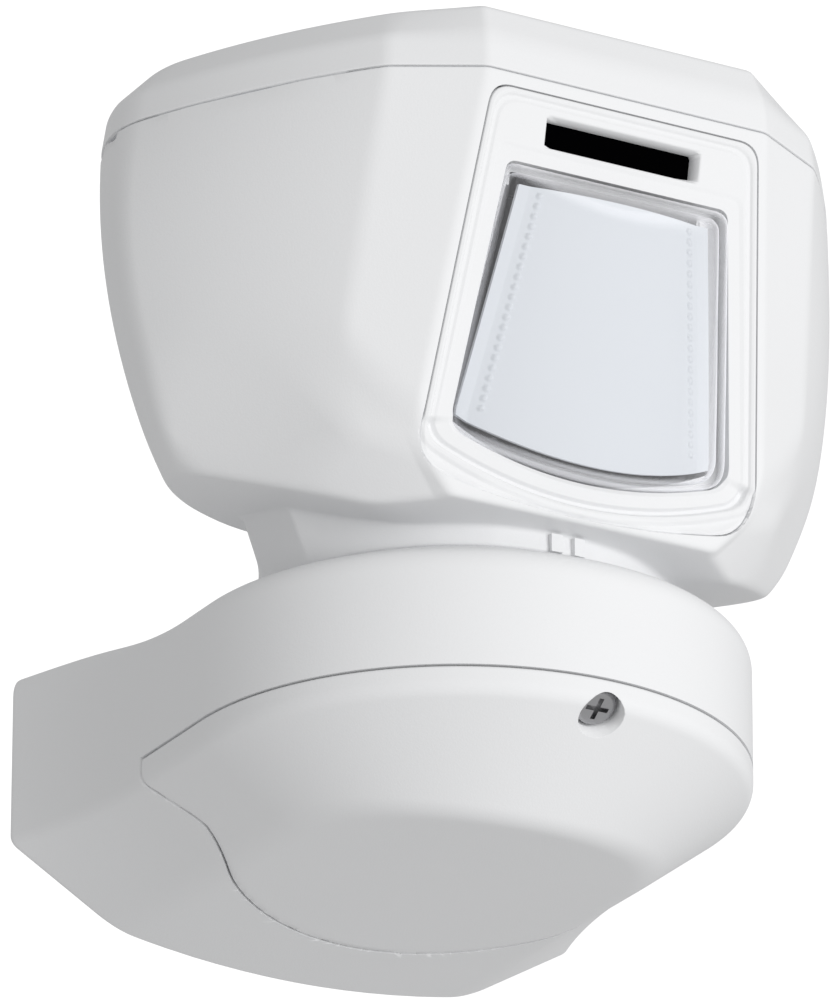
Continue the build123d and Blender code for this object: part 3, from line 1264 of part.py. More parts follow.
# ---------------------------------------------------------------- cap gasket
with BuildPart() as cap_gasket:
    add(head_outline(seam_points(0.8), SEAM_LEVEL))
    extrude(amount=SHELL_GAP)
    add(head_outline(seam_points(WALL - 0.4), SEAM_LEVEL))
    extrude(amount=SHELL_GAP, mode=Mode.SUBTRACT)
save(cap_gasket, "cap_gasket")
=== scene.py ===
import math

import bmesh
import bpy
import numpy as np
from mathutils import Matrix, Vector


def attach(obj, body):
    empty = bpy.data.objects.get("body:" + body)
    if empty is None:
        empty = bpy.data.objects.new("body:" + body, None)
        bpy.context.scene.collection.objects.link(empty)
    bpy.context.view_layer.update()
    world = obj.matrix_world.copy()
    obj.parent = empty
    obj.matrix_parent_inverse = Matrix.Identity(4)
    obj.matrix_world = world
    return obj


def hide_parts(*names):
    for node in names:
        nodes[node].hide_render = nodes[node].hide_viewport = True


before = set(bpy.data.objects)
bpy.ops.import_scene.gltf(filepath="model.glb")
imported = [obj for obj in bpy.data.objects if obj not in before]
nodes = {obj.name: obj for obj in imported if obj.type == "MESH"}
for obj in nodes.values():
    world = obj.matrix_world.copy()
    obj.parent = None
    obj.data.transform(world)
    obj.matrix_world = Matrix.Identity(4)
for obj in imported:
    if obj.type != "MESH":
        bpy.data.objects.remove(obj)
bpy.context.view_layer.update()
MM = 0.001
AXIS_Y = -62.0


# ============================================================ bracket body
# The fixed half of the housing: a round-nosed shell that flares to a shield-shaped back.
# It is injection-moulded white ABS with a fine satin spark finish, screwed to the wall plate.
def soft_max(a, b, width):
    """The larger of two fields, rounded over a width where they meet."""
    blend = np.maximum(width - np.abs(a - b), 0.0) / width
    return np.maximum(a, b) + blend * blend * width * 0.25


def soft_min(a, b, width):
    return -soft_max(-a, -b, width)


def cast(field, centre, targets, reach=150.0):
    """Where rays from a centre towards targets leave a field that is negative inside."""
    centre = np.array(centre, float)
    ray = targets - centre
    ray /= np.linalg.norm(ray, axis=-1, keepdims=True)
    near, far = np.zeros(ray.shape[:-1]), np.full(ray.shape[:-1], reach)
    for _ in range(25):
        half = (near + far) / 2
        inside = field(*np.moveaxis(centre + ray * half[..., None], -1, 0)) < 0
        near, far = np.where(inside, half, near), np.where(inside, far, half)
    return centre + ray * near[..., None]


def mesh_object(name, points, faces):
    mesh = bpy.data.meshes.new(name)
    mesh.from_pydata((np.asarray(points) * MM).tolist(), [], faces)
    piece = bpy.data.objects.new(name, mesh)
    bpy.context.scene.collection.objects.link(piece)
    return piece


def skin(name, rings, top, bottom):
    """Closed mesh over rings of points, from a top point to a bottom point."""
    rows, columns = rings.shape[:2]
    points = np.vstack([rings.reshape(-1, 3), [top, bottom]])
    faces = []
    for r in range(rows - 1):
        for c in range(columns):
            d = (c + 1) % columns
            faces.append((r * columns + c, (r + 1) * columns + c, (r + 1) * columns + d, r * columns + d))
    last = (rows - 1) * columns
    for c in range(columns):
        d = (c + 1) % columns
        faces.append((rows * columns, c, d))
        faces.append((rows * columns + 1, last + d, last + c))
    return mesh_object(name, points, faces)


def shell(name, field, centre, rings):
    """Closed skin of a field, its points spread towards the given rings."""
    up = cast(field, centre, np.array([centre]) + (0, 0, 1))[0]
    down = cast(field, centre, np.array([centre]) + (0, 0, -1))[0]
    return skin(name, cast(field, centre, rings), up, down)


def spread(*stops):
    """Rings between key rings: pairs of a ring and the number of steps to the next."""
    rings = []
    for (ring, count), (following, _) in zip(stops[:-1], stops[1:]):
        rings += [ring + (following - ring) * t for t in np.linspace(0, 1, count, endpoint=False)]
    return np.array(rings + [stops[-1][0]])


def shrunk(ring, share, centre):
    return ring * (share, share, 1) + (centre[0] * (1 - share), centre[1] * (1 - share), 0)


def prism(name, corners, low, high, matrix=None):
    """Closed straight block over a plan, for cutting. The matrix places it."""
    count = len(corners)
    points = [Vector((x, y, low)) for x, y in corners] + [Vector((x, y, high)) for x, y in corners]
    faces = [tuple(range(count - 1, -1, -1)), tuple(range(count, 2 * count))]
    faces += [(i, (i + 1) % count, (i + 1) % count + count, i + count) for i in range(count)]
    block = mesh_object(name, [tuple(matrix @ p if matrix else p) for p in points], faces)
    work = bmesh.new()
    work.from_mesh(block.data)
    bmesh.ops.recalc_face_normals(work, faces=work.faces)
    work.to_mesh(block.data)
    work.free()
    return block


def disc(radius, x=0.0, y=0.0, count=120):
    turn = np.linspace(0, 2 * np.pi, count, endpoint=False)
    return list(zip(x + radius * np.cos(turn), y + radius * np.sin(turn)))


def cad_copy(name):
    """A welded copy of a CAD node, to take its inside features from."""
    piece = bpy.data.objects.new(name + "_inside", nodes[name].data.copy())
    bpy.context.scene.collection.objects.link(piece)
    work = bmesh.new()
    work.from_mesh(piece.data)
    bmesh.ops.remove_doubles(work, verts=work.verts, dist=2e-6)
    work.to_mesh(piece.data)
    work.free()
    piece.data.materials.clear()
    return piece


def join(piece, tool, operation):
    """Boolean a tool into a piece, then drop the tool."""
    step = piece.modifiers.new("cut", "BOOLEAN")
    step.operation, step.object, step.solver = operation, tool, "MANIFOLD"
    made = bpy.data.meshes.new_from_object(piece.evaluated_get(bpy.context.evaluated_depsgraph_get()))
    piece.modifiers.clear()
    piece.data = made
    bpy.data.objects.remove(tool)
    return piece


def settle(piece, material, body, replaced, sharp=30.0):
    """Last steps of a piece: its finish, its edges, its CAD body and the node it stands for."""
    work = bmesh.new()
    work.from_mesh(piece.data)
    bmesh.ops.remove_doubles(work, verts=work.verts, dist=3e-6)
    bmesh.ops.dissolve_degenerate(work, edges=work.edges, dist=3e-6)
    work.to_mesh(piece.data)
    work.free()
    piece.data.polygons.foreach_set("use_smooth", [True] * len(piece.data.polygons))
    piece.data.set_sharp_from_angle(angle=math.radians(sharp))
    piece.data.materials.clear()
    piece.data.materials.append(material)
    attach(piece, body)
    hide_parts(*replaced)
    return piece


def group(name, inputs, outputs):
    """Empty shader node group with its sockets, its input node and its output node."""
    tree = bpy.data.node_groups.new(name, "ShaderNodeTree")
    for label, kind, value in inputs:
        made = tree.interface.new_socket(label, in_out="INPUT", socket_type=kind)
        made.default_value = value
    for label, kind in outputs:
        tree.interface.new_socket(label, in_out="OUTPUT", socket_type=kind)
    return tree, tree.nodes.new("NodeGroupInput"), tree.nodes.new("NodeGroupOutput")


# satin moulding: fine spark texture, faint flow clouds in the resin, a slight change of gloss
satin, satin_in, satin_out = group(
    "satin_moulding",
    [("Scale", "NodeSocketFloat", 2600.0), ("Depth", "NodeSocketFloat", 0.02),
     ("Tint", "NodeSocketColor", (0.8, 0.8, 0.8, 1)), ("Gloss", "NodeSocketFloat", 0.4)],
    [("Color", "NodeSocketColor"), ("Roughness", "NodeSocketFloat"), ("Normal", "NodeSocketVector")],
)
place = satin.nodes.new("ShaderNodeTexCoord")
spark = satin.nodes.new("ShaderNodeTexNoise")
spark.inputs["Detail"].default_value = 3.0
satin.links.new(place.outputs["Object"], spark.inputs["Vector"])
satin.links.new(satin_in.outputs["Scale"], spark.inputs["Scale"])
cloud = satin.nodes.new("ShaderNodeTexNoise")
cloud.inputs["Scale"].default_value = 22.0
cloud.inputs["Detail"].default_value = 4.0
satin.links.new(place.outputs["Object"], cloud.inputs["Vector"])
bump = satin.nodes.new("ShaderNodeBump")
bump.inputs["Distance"].default_value = 0.0001
satin.links.new(satin_in.outputs["Depth"], bump.inputs["Strength"])
satin.links.new(spark.outputs["Fac"], bump.inputs["Height"])
satin.links.new(bump.outputs["Normal"], satin_out.inputs["Normal"])
shade = satin.nodes.new("ShaderNodeMapRange")
shade.inputs["To Min"].default_value = 0.98
shade.inputs["To Max"].default_value = 1.015
satin.links.new(cloud.outputs["Fac"], shade.inputs["Value"])
tinted = satin.nodes.new("ShaderNodeVectorMath")
tinted.operation = "SCALE"
satin.links.new(satin_in.outputs["Tint"], tinted.inputs[0])
satin.links.new(shade.outputs["Result"], tinted.inputs["Scale"])
satin.links.new(tinted.outputs["Vector"], satin_out.inputs["Color"])
gloss = satin.nodes.new("ShaderNodeMath")
gloss.operation = "MULTIPLY_ADD"
gloss.inputs[1].default_value = 0.08
satin.links.new(cloud.outputs["Fac"], gloss.inputs[0])
satin.links.new(satin_in.outputs["Gloss"], gloss.inputs[2])
satin.links.new(gloss.outputs["Value"], satin_out.inputs["Roughness"])


def moulded(name, colour, roughness, depth=0.25, scale=2600.0, specular=0.5, coat=0.0, metallic=0.0):
    """Principled material over the satin moulding group."""
    made = bpy.data.materials.new(name)
    made.use_nodes = True
    tree = made.node_tree
    shader = tree.nodes["Principled BSDF"]
    look = tree.nodes.new("ShaderNodeGroup")
    look.node_tree = satin
    look.inputs["Tint"].default_value = (*colour, 1)
    look.inputs["Gloss"].default_value = roughness
    look.inputs["Depth"].default_value = depth
    look.inputs["Scale"].default_value = scale
    tree.links.new(look.outputs["Color"], shader.inputs["Base Color"])
    tree.links.new(look.outputs["Roughness"], shader.inputs["Roughness"])
    tree.links.new(look.outputs["Normal"], shader.inputs["Normal"])
    shader.inputs["Specular IOR Level"].default_value = specular
    shader.inputs["Metallic"].default_value = metallic
    shader.inputs["Coat Weight"].default_value = coat
    return made


white_abs = moulded("white_abs", (0.84, 0.845, 0.855), 0.38)

WALL = 2.5
BRACKET_TOP, CREASE_Z, FLOOR_Z, FLOOR_BOW_R = 25.0, -7.5, -24.0, 190.0
NOSE_R, PLATE_HALF, FLOOR_NOSE_R, FLOOR_HALF, FLARE_Y = 53.0, 59.0, 30.8, 30.7, -38.0
RIM_NOSE_Z, RIM_RISE_Y, RIM_SLOPE = 19.0, -52.0, 0.45
BRACKET_MID = (0.0, -45.0, 2.0)


def bracket_plan(x, y, nose, half):
    """Distance outside the bracket's plan: round nose, straight flank, flare to the wall."""
    behind = np.hypot(x, np.minimum(y - AXIS_Y, 0.0)) - nose
    flare = np.clip((y - FLARE_Y) / -FLARE_Y, 0.0, 1.3)
    return behind - (half - nose) * flare * flare


def hull(x, y, z, back=0.0):
    """Outside of the whole bracket, lower cover included."""
    wall = bracket_plan(x, y, NOSE_R, PLATE_HALF)
    fall = (CREASE_Z - z) / (CREASE_Z - FLOOR_Z)
    slope = bracket_plan(x, y, NOSE_R + (FLOOR_NOSE_R - NOSE_R) * fall,
        PLATE_HALF + (FLOOR_HALF - PLATE_HALF) * fall)
    body = soft_max(wall, slope * 0.6, 1.5)
    toward_wall = np.clip((y - RIM_RISE_Y) / -RIM_RISE_Y, 0.0, 1.0)
    rim = RIM_NOSE_Z + (BRACKET_TOP - RIM_NOSE_Z) * toward_wall * toward_wall * (3 - 2 * toward_wall)
    body = soft_max(body, (z - rim + RIM_SLOPE * wall) / math.hypot(1, RIM_SLOPE), 3.4)
    body = soft_max(body, z - BRACKET_TOP, 1.2)
    body = soft_max(body, np.hypot(x, z - FLOOR_Z - FLOOR_BOW_R) - FLOOR_BOW_R, 1.6)
    return soft_max(body, y - back, 0.8)


turn = np.linspace(0, 2 * np.pi, 900, endpoint=False)
compass = np.stack([np.cos(turn), np.sin(turn), 0 * turn], -1)


def plan_ring(nose, half, level):
    """Ring round the bracket's plan, its points at the same places on every outline."""
    round_nose = np.radians(np.linspace(-90, 0, 130, endpoint=False))
    flare = np.linspace(0, 1, 70) ** 0.9
    right = [(nose * math.cos(a), AXIS_Y + nose * math.sin(a)) for a in round_nose]
    right += [(nose, y) for y in np.linspace(AXIS_Y, FLARE_Y, 26, endpoint=False)]
    right += [(nose + (half - nose) * t * t, FLARE_Y * (1 - t)) for t in flare]
    right += [(half * t, 0.0) for t in (0.995, 0.99, 0.98, 0.96, 0.93, 0.88, 0.8, 0.65, 0.5, 0.35, 0.2,
        0.1)]
    ring = right + [(0.0, 0.0)] + [(-x, y) for x, y in reversed(right[1:])]
    return np.array([(x, y, level) for x, y in ring])


rim_ring, side_ring, crease_ring = (plan_ring(NOSE_R, PLATE_HALF, z) for z in (BRACKET_TOP, 15.0, CREASE_Z))
floor_ring = plan_ring(FLOOR_NOSE_R, FLOOR_HALF, FLOOR_Z)
bow_share = (floor_ring[:, :1] / FLOOR_BOW_R) ** 2 * FLOOR_BOW_R / 2 / (CREASE_Z - FLOOR_Z)
floor_ring = floor_ring + (crease_ring - floor_ring) * bow_share
bracket_rings = spread(
    (shrunk(rim_ring, 0.04, BRACKET_MID), 10), (shrunk(rim_ring, 0.66, BRACKET_MID), 34), (rim_ring, 24),
        (side_ring, 8),
    (crease_ring + (0, 0, 3), 12), (crease_ring, 12), (crease_ring + (floor_ring - crease_ring) * 0.12, 22),
    (crease_ring + (floor_ring - crease_ring) * 0.86, 12), (floor_ring, 12),
        (shrunk(floor_ring, 0.88, BRACKET_MID), 12),
    (shrunk(floor_ring, 0.04, BRACKET_MID), 1),
)
bracket_shell = shell("bracket_shell", hull, BRACKET_MID, bracket_rings)
hollow = shell("hollow", lambda x, y, z: hull(x, y, z, 6.0 + WALL) + WALL, BRACKET_MID,
    bracket_rings[::2, ::2])
join(bracket_shell, hollow, "DIFFERENCE")

COVER_SEAM_Z, COVER_BACK_Y, COVER_TAIL_Y, COVER_TAIL_R = -3.0, -45.0, -66.0, 44.0
COVER_MID = (0.0, -75.0, -9.0)


def cover_plan(x, y):
    """Plan of the lower cover: everything in front of a line, and a round tail behind it."""
    line = y - COVER_BACK_Y - 0.5 * np.maximum(np.abs(x) - 42.0, 0.0)
    return soft_min(line, np.hypot(x, y - COVER_TAIL_Y) - COVER_TAIL_R, 7.0)


cover_limit = cast(
    lambda x, y, z: np.maximum(cover_plan(x, y) - 0.14, np.maximum(np.abs(x) - 90, -y - 140)),
    COVER_MID, compass + COVER_MID, 220,
)
join(bracket_shell, prism("cover_cut", cover_limit[:, :2].tolist(), FLOOR_Z - 8, COVER_SEAM_Z + 0.14),
    "DIFFERENCE")
join(bracket_shell, prism("bore_cut", disc(24.05, 0, AXIS_Y), 18, 30), "DIFFERENCE")
inside = cad_copy("bracket_body")
join(inside, shell("keep", lambda x, y, z: hull(x, y, z) + 1.0, BRACKET_MID, bracket_rings[::2, ::2]),
    "INTERSECT")
join(bracket_shell, inside, "UNION")
join(bracket_shell, prism("cover_cut", cover_limit[:, :2].tolist(), FLOOR_Z - 8, COVER_SEAM_Z + 0.14),
    "DIFFERENCE")
settle(bracket_shell, white_abs, "bracket", ["bracket_body"])

# ============================================================ lower cover
# The wiring cover under the nose: a bowl with a round tail, held by one countersunk screw.
# Same white ABS as the bracket, moulded on its own and set in a fine seam.
SCREW_TILT = math.radians(36.6)
SCREW_FACE = Vector((0, AXIS_Y - 50.5, CREASE_Z - 2.5 / math.tan(math.pi / 2 - SCREW_TILT)))
screw_axis = Matrix((
    (1, 0, 0, SCREW_FACE.x),
    (0, -math.cos(SCREW_TILT), -math.sin(SCREW_TILT), SCREW_FACE.y),
    (0, math.sin(SCREW_TILT), -math.cos(SCREW_TILT), SCREW_FACE.z),
    (0, 0, 0, 1),
))


def cover_body(x, y, z, top=COVER_SEAM_Z, inset=0.0):
    body = soft_max(hull(x, y, z) + inset, cover_plan(x, y) + 0.14 + inset, 0.7)
    return soft_max(body, z - top + 0.14, 0.7)


cover_flat = cast(lambda x, y, z: np.maximum(cover_plan(x, y), bracket_plan(x, y, NOSE_R, PLATE_HALF)),
    COVER_MID, compass + COVER_MID)
cover_top = cover_flat * (1, 1, 0) + (0, 0, COVER_SEAM_Z)
cover_low = shrunk(cover_flat, 0.62, COVER_MID) * (1, 1, 0) + (0, 0, FLOOR_Z)
cover_rings = spread(
    (shrunk(cover_top, 0.04, COVER_MID), 10), (shrunk(cover_top, 0.96, COVER_MID), 10), (cover_top, 10),
    (cover_top + (0, 0, -1.6), 24), (cover_top + (0, 0, -7), 60), (cover_low, 24),
        (shrunk(cover_low, 0.04, COVER_MID), 1),
)
cover_shell = shell("cover_shell", cover_body, COVER_MID, cover_rings)
join(cover_shell, shell("hollow", lambda x, y, z: cover_body(x, y, z, 6.0, WALL), COVER_MID,
    cover_rings[::2, ::2]), "DIFFERENCE")
inside = cad_copy("lower_cover")
join(inside, shell("keep", lambda x, y, z: cover_body(x, y, z, 20.0, 1.0), COVER_MID,
    cover_rings[::2, ::2]), "INTERSECT")
join(cover_shell, inside, "UNION")
boss = prism("boss", disc(6.2), -8.5, 2.0, screw_axis)
join(boss, shell("keep", lambda x, y, z: cover_body(x, y, z, COVER_SEAM_Z, 0.4), COVER_MID,
    cover_rings[::2, ::2]), "INTERSECT")
join(cover_shell, boss, "UNION")
join(cover_shell, prism("screw_cut", disc(4.3), -5.0, 14.0, screw_axis), "DIFFERENCE")
join(cover_shell, prism("shank_cut", disc(2.2), -12.0, 0.0, screw_axis), "DIFFERENCE")
settle(cover_shell, white_abs, "lower_cover", ["lower_cover"])

# ============================================================ head housing
# The turning half: an eight-sided shell that narrows to a round neck, with soft moulded edges.
# White ABS; the bezel, cap and rear cover are set into it and its boss turns in the bracket.
SEAM_LEVEL, SHOULDER_LEVEL, HEM_LEVEL, UNDER_LEVEL = 105.7, 45.0, 40.0, 29.5
FACE_LEAN = math.radians(12.1)
HEAD_FRONT = 61.1
HEAD_MID = (0.0, AXIS_Y, 75.0)
SIDE_BOW, CORNER_BOW = 0.042, 0.21
FACET_BOW = (0, SIDE_BOW, CORNER_BOW, 0, CORNER_BOW, SIDE_BOW, 0, 0)
CORNER_SOFT = (0.45, 0.45, 2.4, 2.0, 2.4, 0.45, 0.45, 0)
SWELL = np.array([(0, 0), (0, 0), (4.4, 0.4), (1.4, 0), (-1.4, 0), (-4.4, 0.4), (0, 0), (0, 0)])


def front_at(level):
    return HEAD_FRONT - (SEAM_LEVEL - level) * math.tan(FACE_LEAN)


def corners(front, front_half, chamfer, side, back):
    """Eight corners of the head's plan, anticlockwise from the right front corner."""
    right = [(front_half, -front), chamfer, side, back]
    return np.array(right + [(-x, y) for x, y in reversed(right)], float)


seam_corners = corners(HEAD_FRONT, 28.9, (44.7, -52.2), (73.4, -6.0), (50.0, 21.0))
shoulder_corners = corners(front_at(SHOULDER_LEVEL), 35.4, (48.4, -40.0), (65.0, -9.0), (42.0, 12.0))
hem_corners = corners(front_at(HEM_LEVEL), 34.0, (44.0, -38.6), (61.0, -8.5), (40.5, 12.2))
under_corners = corners(front_at(UNDER_LEVEL), 29.5, (38.0, -41.0), (39.5, -34.5), (27.7, -29.0))
NECK_TOP, NECK_LOW, NECK_R = 44.0, 25.5, 38.4
neck_right = [(14.0, -37.0), (33.2, -24.8), (47.0, -14.0), (45.3, 3.0), (26.0, 12.0)]
neck_corners = np.array(neck_right + [(-x, y) for x, y in reversed(neck_right)])


def facet(x, y, z, high, low, high_z, low_z, i, bow=0.0, swell=0.0):
    """Distance outside one side of the head between two outlines, bowed in plan and swelling in height."""
    t = ((high_z - z) / (high_z - low_z))[..., None]
    j = (i + 1) % len(high)
    rise = swell * 4 * t * np.maximum(1 - t, -0.3)
    start, end = high[i] + (low[i] - high[i]) * t + SWELL[i] * rise, high[j] + (low[j] - high[j]) * t + SWELL[j] * rise
    side = end - start
    length = np.maximum(np.hypot(side[..., 0], side[..., 1]), 1e-6)
    way_x, way_y = side[..., 0] / length, side[..., 1] / length
    px, py = x - start[..., 0], y - AXIS_Y - start[..., 1]
    along = np.clip((px * way_x + py * way_y) / length, -0.25, 1.25)
    lean = (low[i] + low[j] - high[i] - high[j]) / 2 / (high_z - low_z)
    flat = high[j] - high[i]
    flat = flat / np.hypot(*flat)
    slope = lean[0] * flat[1] - lean[1] * flat[0]
    return (px * way_y - py * way_x - bow * 4 * length * along * (1 - along)) / math.hypot(1, slope)


def head_sides(x, y, z):
    walls = facet(x, y, z, seam_corners, shoulder_corners, SEAM_LEVEL, SHOULDER_LEVEL, 7)
    for i in (0, 6, 1, 5, 3, 2, 4):
        side = facet(x, y, z, seam_corners, shoulder_corners, SEAM_LEVEL, SHOULDER_LEVEL, i, FACET_BOW[i],
            1.0)
        walls = soft_max(walls, side, CORNER_SOFT[i])
    hem = facet(x, y, z, shoulder_corners, hem_corners, SHOULDER_LEVEL, HEM_LEVEL, 1, FACET_BOW[1])
    for i in (5, 3, 2, 4):
        side = facet(x, y, z, shoulder_corners, hem_corners, SHOULDER_LEVEL, HEM_LEVEL, i, FACET_BOW[i])
        hem = soft_max(hem, side, 2.4)
    under = facet(x, y, z, hem_corners, under_corners, HEM_LEVEL, UNDER_LEVEL, 1)
    for i in (5, 3, 2, 4, 0, 6):
        under = soft_max(under, facet(x, y, z, hem_corners, under_corners, HEM_LEVEL, UNDER_LEVEL, i), 1.0)
    base = soft_max(soft_max(hem, under, 1.2), UNDER_LEVEL - z, 1.0)
    return soft_max(walls, base, 1.1)


def neck(x, y, z):
    """Distance outside the neck: round at the collar, with two flat cheeks at its top."""
    turned = np.arctan2(x, -(y - AXIS_Y))
    ring = np.arctan2(neck_corners[:, 0], -neck_corners[:, 1])
    radius = np.full(np.shape(turned), 1e9)
    for i in range(len(neck_corners)):
        a, b = neck_corners[i], neck_corners[(i + 1) % len(neck_corners)]
        way = (b - a) / np.hypot(*(b - a))
        gap = a[0] * way[1] - a[1] * way[0]
        toward = np.sin(turned) * way[1] + np.cos(turned) * way[0]
        radius = soft_min(radius, np.where(toward > 0.02, gap / np.maximum(toward, 0.02), 1e3), 0.7)
    t = np.clip((z - NECK_LOW) / (NECK_TOP - NECK_LOW), -0.1, 1.3)
    edge = NECK_R + (radius - NECK_R) * t
    side = (np.hypot(x, y - AXIS_Y) - edge) * 0.9
    return soft_max(soft_max(side, NECK_LOW - z, 0.9), z - 60.0, 1.0)


def head(x, y, z, top=SEAM_LEVEL):
    return soft_max(soft_min(head_sides(x, y, z), neck(x, y, z), 1.0), z - top, 0.35)


def head_cast(level, grow=1.0):
    """Ring of the head's outline at a level, as targets for the rays."""
    t = (SEAM_LEVEL - level) / (SEAM_LEVEL - SHOULDER_LEVEL)
    plan = seam_corners + (shoulder_corners - seam_corners) * t

    def outline(x, y, z):
        far = np.full(np.shape(x), -1e9)
        for i in range(8):
            way = plan[(i + 1) % 8] - plan[i]
            way = way / np.hypot(*way)
            far = np.maximum(far, (x - plan[i][0]) * way[1] - (y - AXIS_Y - plan[i][1]) * way[0])
        return far
    ring = cast(outline, (0, AXIS_Y, level), head_compass + (0, AXIS_Y, level))
    return shrunk(ring, grow, HEAD_MID)


head_turn = np.linspace(0, 2 * np.pi, 1100, endpoint=False)
head_compass = np.stack([np.cos(head_turn), np.sin(head_turn), 0 * head_turn], -1)
seam_ring, shoulder_ring = head_cast(SEAM_LEVEL), head_cast(SHOULDER_LEVEL + 3)
collar_ring = head_compass * NECK_R + (0, AXIS_Y, NECK_LOW)
head_rings = spread(
    (shrunk(seam_ring, 0.03, HEAD_MID), 8), (shrunk(seam_ring, 0.96, HEAD_MID), 6), (seam_ring, 4),
    (seam_ring + (0, 0, -0.8), 26), (shoulder_ring, 90), (collar_ring, 8),
        (shrunk(collar_ring, 0.9, HEAD_MID), 6),
    (shrunk(collar_ring, 0.03, HEAD_MID), 1),
)
head_shell = shell("head_shell", head, HEAD_MID, head_rings)
join(head_shell, shell("hollow", lambda x, y, z: soft_max(head_sides(x, y, z) + WALL, z - 112.0, 0.5),
    HEAD_MID, head_rings[::2, ::2]), "DIFFERENCE")

# the leaning front face: x across, y up the face, z outwards
face = Matrix((
    (1, 0, 0, 0),
    (0, -math.sin(FACE_LEAN), -math.cos(FACE_LEAN), AXIS_Y - HEAD_FRONT),
    (0, math.cos(FACE_LEAN), -math.sin(FACE_LEAN), SEAM_LEVEL),
    (0, 0, 0, 1),
))
FACE_CENTRE = (0.0, -44.0)
BEZEL = dict(top=2.5, top_half=27.6, low=73.4, low_half=35.2, bow=3.7, corner=8.5, shoulder=4.0)
WINDOW = dict(top=16.0, top_half=22.6, low=65.4, low_half=28.6, bow=5.0, corner=4.0, shoulder=2.0)
LENS = dict(top=19.5, top_half=17.2, low=61.5, low_half=23.7, bow=5.2, corner=0.6, shoulder=0.6)
SLOT = dict(top=6.8, top_half=15.4, low=11.6, low_half=15.4, bow=0.0, corner=0.5, shoulder=0.5)


def on_face(x, y, top, top_half, low, low_half, bow, corner, shoulder):
    """Distance outside an outline on the front face; y runs up from the seam."""
    down = -y
    slope = (low_half - top_half) / (low - top)
    side = (np.abs(x) - top_half - slope * (down - top)) / math.hypot(1, slope)
    out = soft_max(side, top - down, shoulder)
    return soft_max(out, (down - low - bow * (1 - (x / low_half) ** 2)) * 0.96, corner)


def face_ring(outline, grow=0.0, count=360, centre=FACE_CENTRE):
    """Points round an outline on the face, as (x, y)."""
    turn = np.linspace(0, 2 * np.pi, count, endpoint=False)
    middle = (*centre, 0.0)
    rays = np.stack([np.cos(turn), np.sin(turn), 0 * turn], -1) + middle
    return cast(lambda x, y, z: on_face(x, y, **outline) - grow, middle, rays)[:, :2]


join(head_shell, prism("bezel_cut", face_ring(BEZEL, 0.14).tolist(), -3.15, 8, face), "DIFFERENCE")
join(head_shell, prism("window_cut", face_ring(WINDOW, 2.8).tolist(), -9, -3, face), "DIFFERENCE")
slot_mid = (0.0, -9.2)
join(head_shell, prism("slot_cut", face_ring(SLOT, 1.5, centre=slot_mid).tolist(), -9, -3, face),
    "DIFFERENCE")
REAR_HALF, REAR_TOP, REAR_LOW = 38.0, 96.0, 56.0
upright = Matrix(((1, 0, 0, 0), (0, 0, 1, AXIS_Y), (0, 1, 0, 0), (0, 0, 0, 1)))


def rounded(half, low, high, radius, count=12):
    """Rounded rectangle as (x, z) corners."""
    points = []
    for cx, cz, start in ((half - radius, high - radius, 0), (radius - half, high - radius, 90),
                          (radius - half, low + radius, 180), (half - radius, low + radius, 270)):
        for step in np.radians(np.linspace(start, start + 90, count)):
            points.append((cx + radius * math.cos(step), cz + radius * math.sin(step)))
    return points


join(head_shell, prism("rear_cut", rounded(REAR_HALF, REAR_LOW, REAR_TOP, 6.0), 4.0, 44.0, upright),
    "DIFFERENCE")
join(head_shell, prism("bore", disc(17.0, 0, AXIS_Y), 10, 46), "DIFFERENCE")
inside = cad_copy("head_housing")
keep_rings = head_rings[::2, ::2]
join(inside, shell("keep", lambda x, y, z: soft_min(
    soft_max(soft_min(head_sides(x, y, z), neck(x, y, z), 3.0) + 1.2, z - 112.0, 0.3),
    soft_max(np.hypot(x, y - AXIS_Y) - 30.0, 10.0 - z, 0.3), 0.3), HEAD_MID, keep_rings), "INTERSECT")
join(head_shell, inside, "UNION")
for rib_turn in (-3.4, 3.4):
    rib = Matrix.Translation((0, AXIS_Y, 0)) @ Matrix.Rotation(math.radians(rib_turn), 4, "Z")
    join(head_shell, prism("rib",
        [(-1.1, -NECK_R - 1.0), (1.1, -NECK_R - 1.0), (1.1, -NECK_R + 2), (-1.1, -NECK_R + 2)],
            NECK_LOW + 0.02, NECK_LOW + 3.4, rib), "UNION")
baffle = prism("baffle", face_ring(WINDOW, 2.6).tolist(), -5.9, -5.1, face)
join(baffle, prism("baffle_cut", face_ring(LENS, 3.0).tolist(), -8.0, -3.0, face), "DIFFERENCE")
join(head_shell, baffle, "UNION")
settle(head_shell, white_abs, "head", ["head_housing"])

# ============================================================ rear cover
# The service panel in the back of the head, with three cooling slots and four screws.
# It follows the housing's outside and sits in its opening with a fine gap.
rear_shell = shell("rear_shell", lambda x, y, z: head(x, y, z), HEAD_MID, head_rings[::2, ::2])
join(rear_shell, shell("hollow", lambda x, y, z: soft_max(head_sides(x, y, z) + WALL, z - 112.0, 0.5),
    HEAD_MID, keep_rings), "DIFFERENCE")
join(rear_shell, prism("panel", rounded(REAR_HALF - 0.3, REAR_LOW + 0.3, REAR_TOP - 0.3, 5.7), 4.0, 44.0,
    upright), "INTERSECT")
for x in (-33.5, 33.5):
    for z in (60.5, 91.5):
        seat = 21.0 - (SEAM_LEVEL - z) * 9.0 / (SEAM_LEVEL - SHOULDER_LEVEL) - 1.0
        join(rear_shell, prism("screw_hole", [(x + a, z + b) for a, b in disc(1.5, count=32)], 2.0, 44.0,
            upright), "DIFFERENCE")
        join(rear_shell, prism("screw_seat", [(x + a, z + b) for a, b in disc(2.8, count=48)], seat, 44.0,
            upright), "DIFFERENCE")
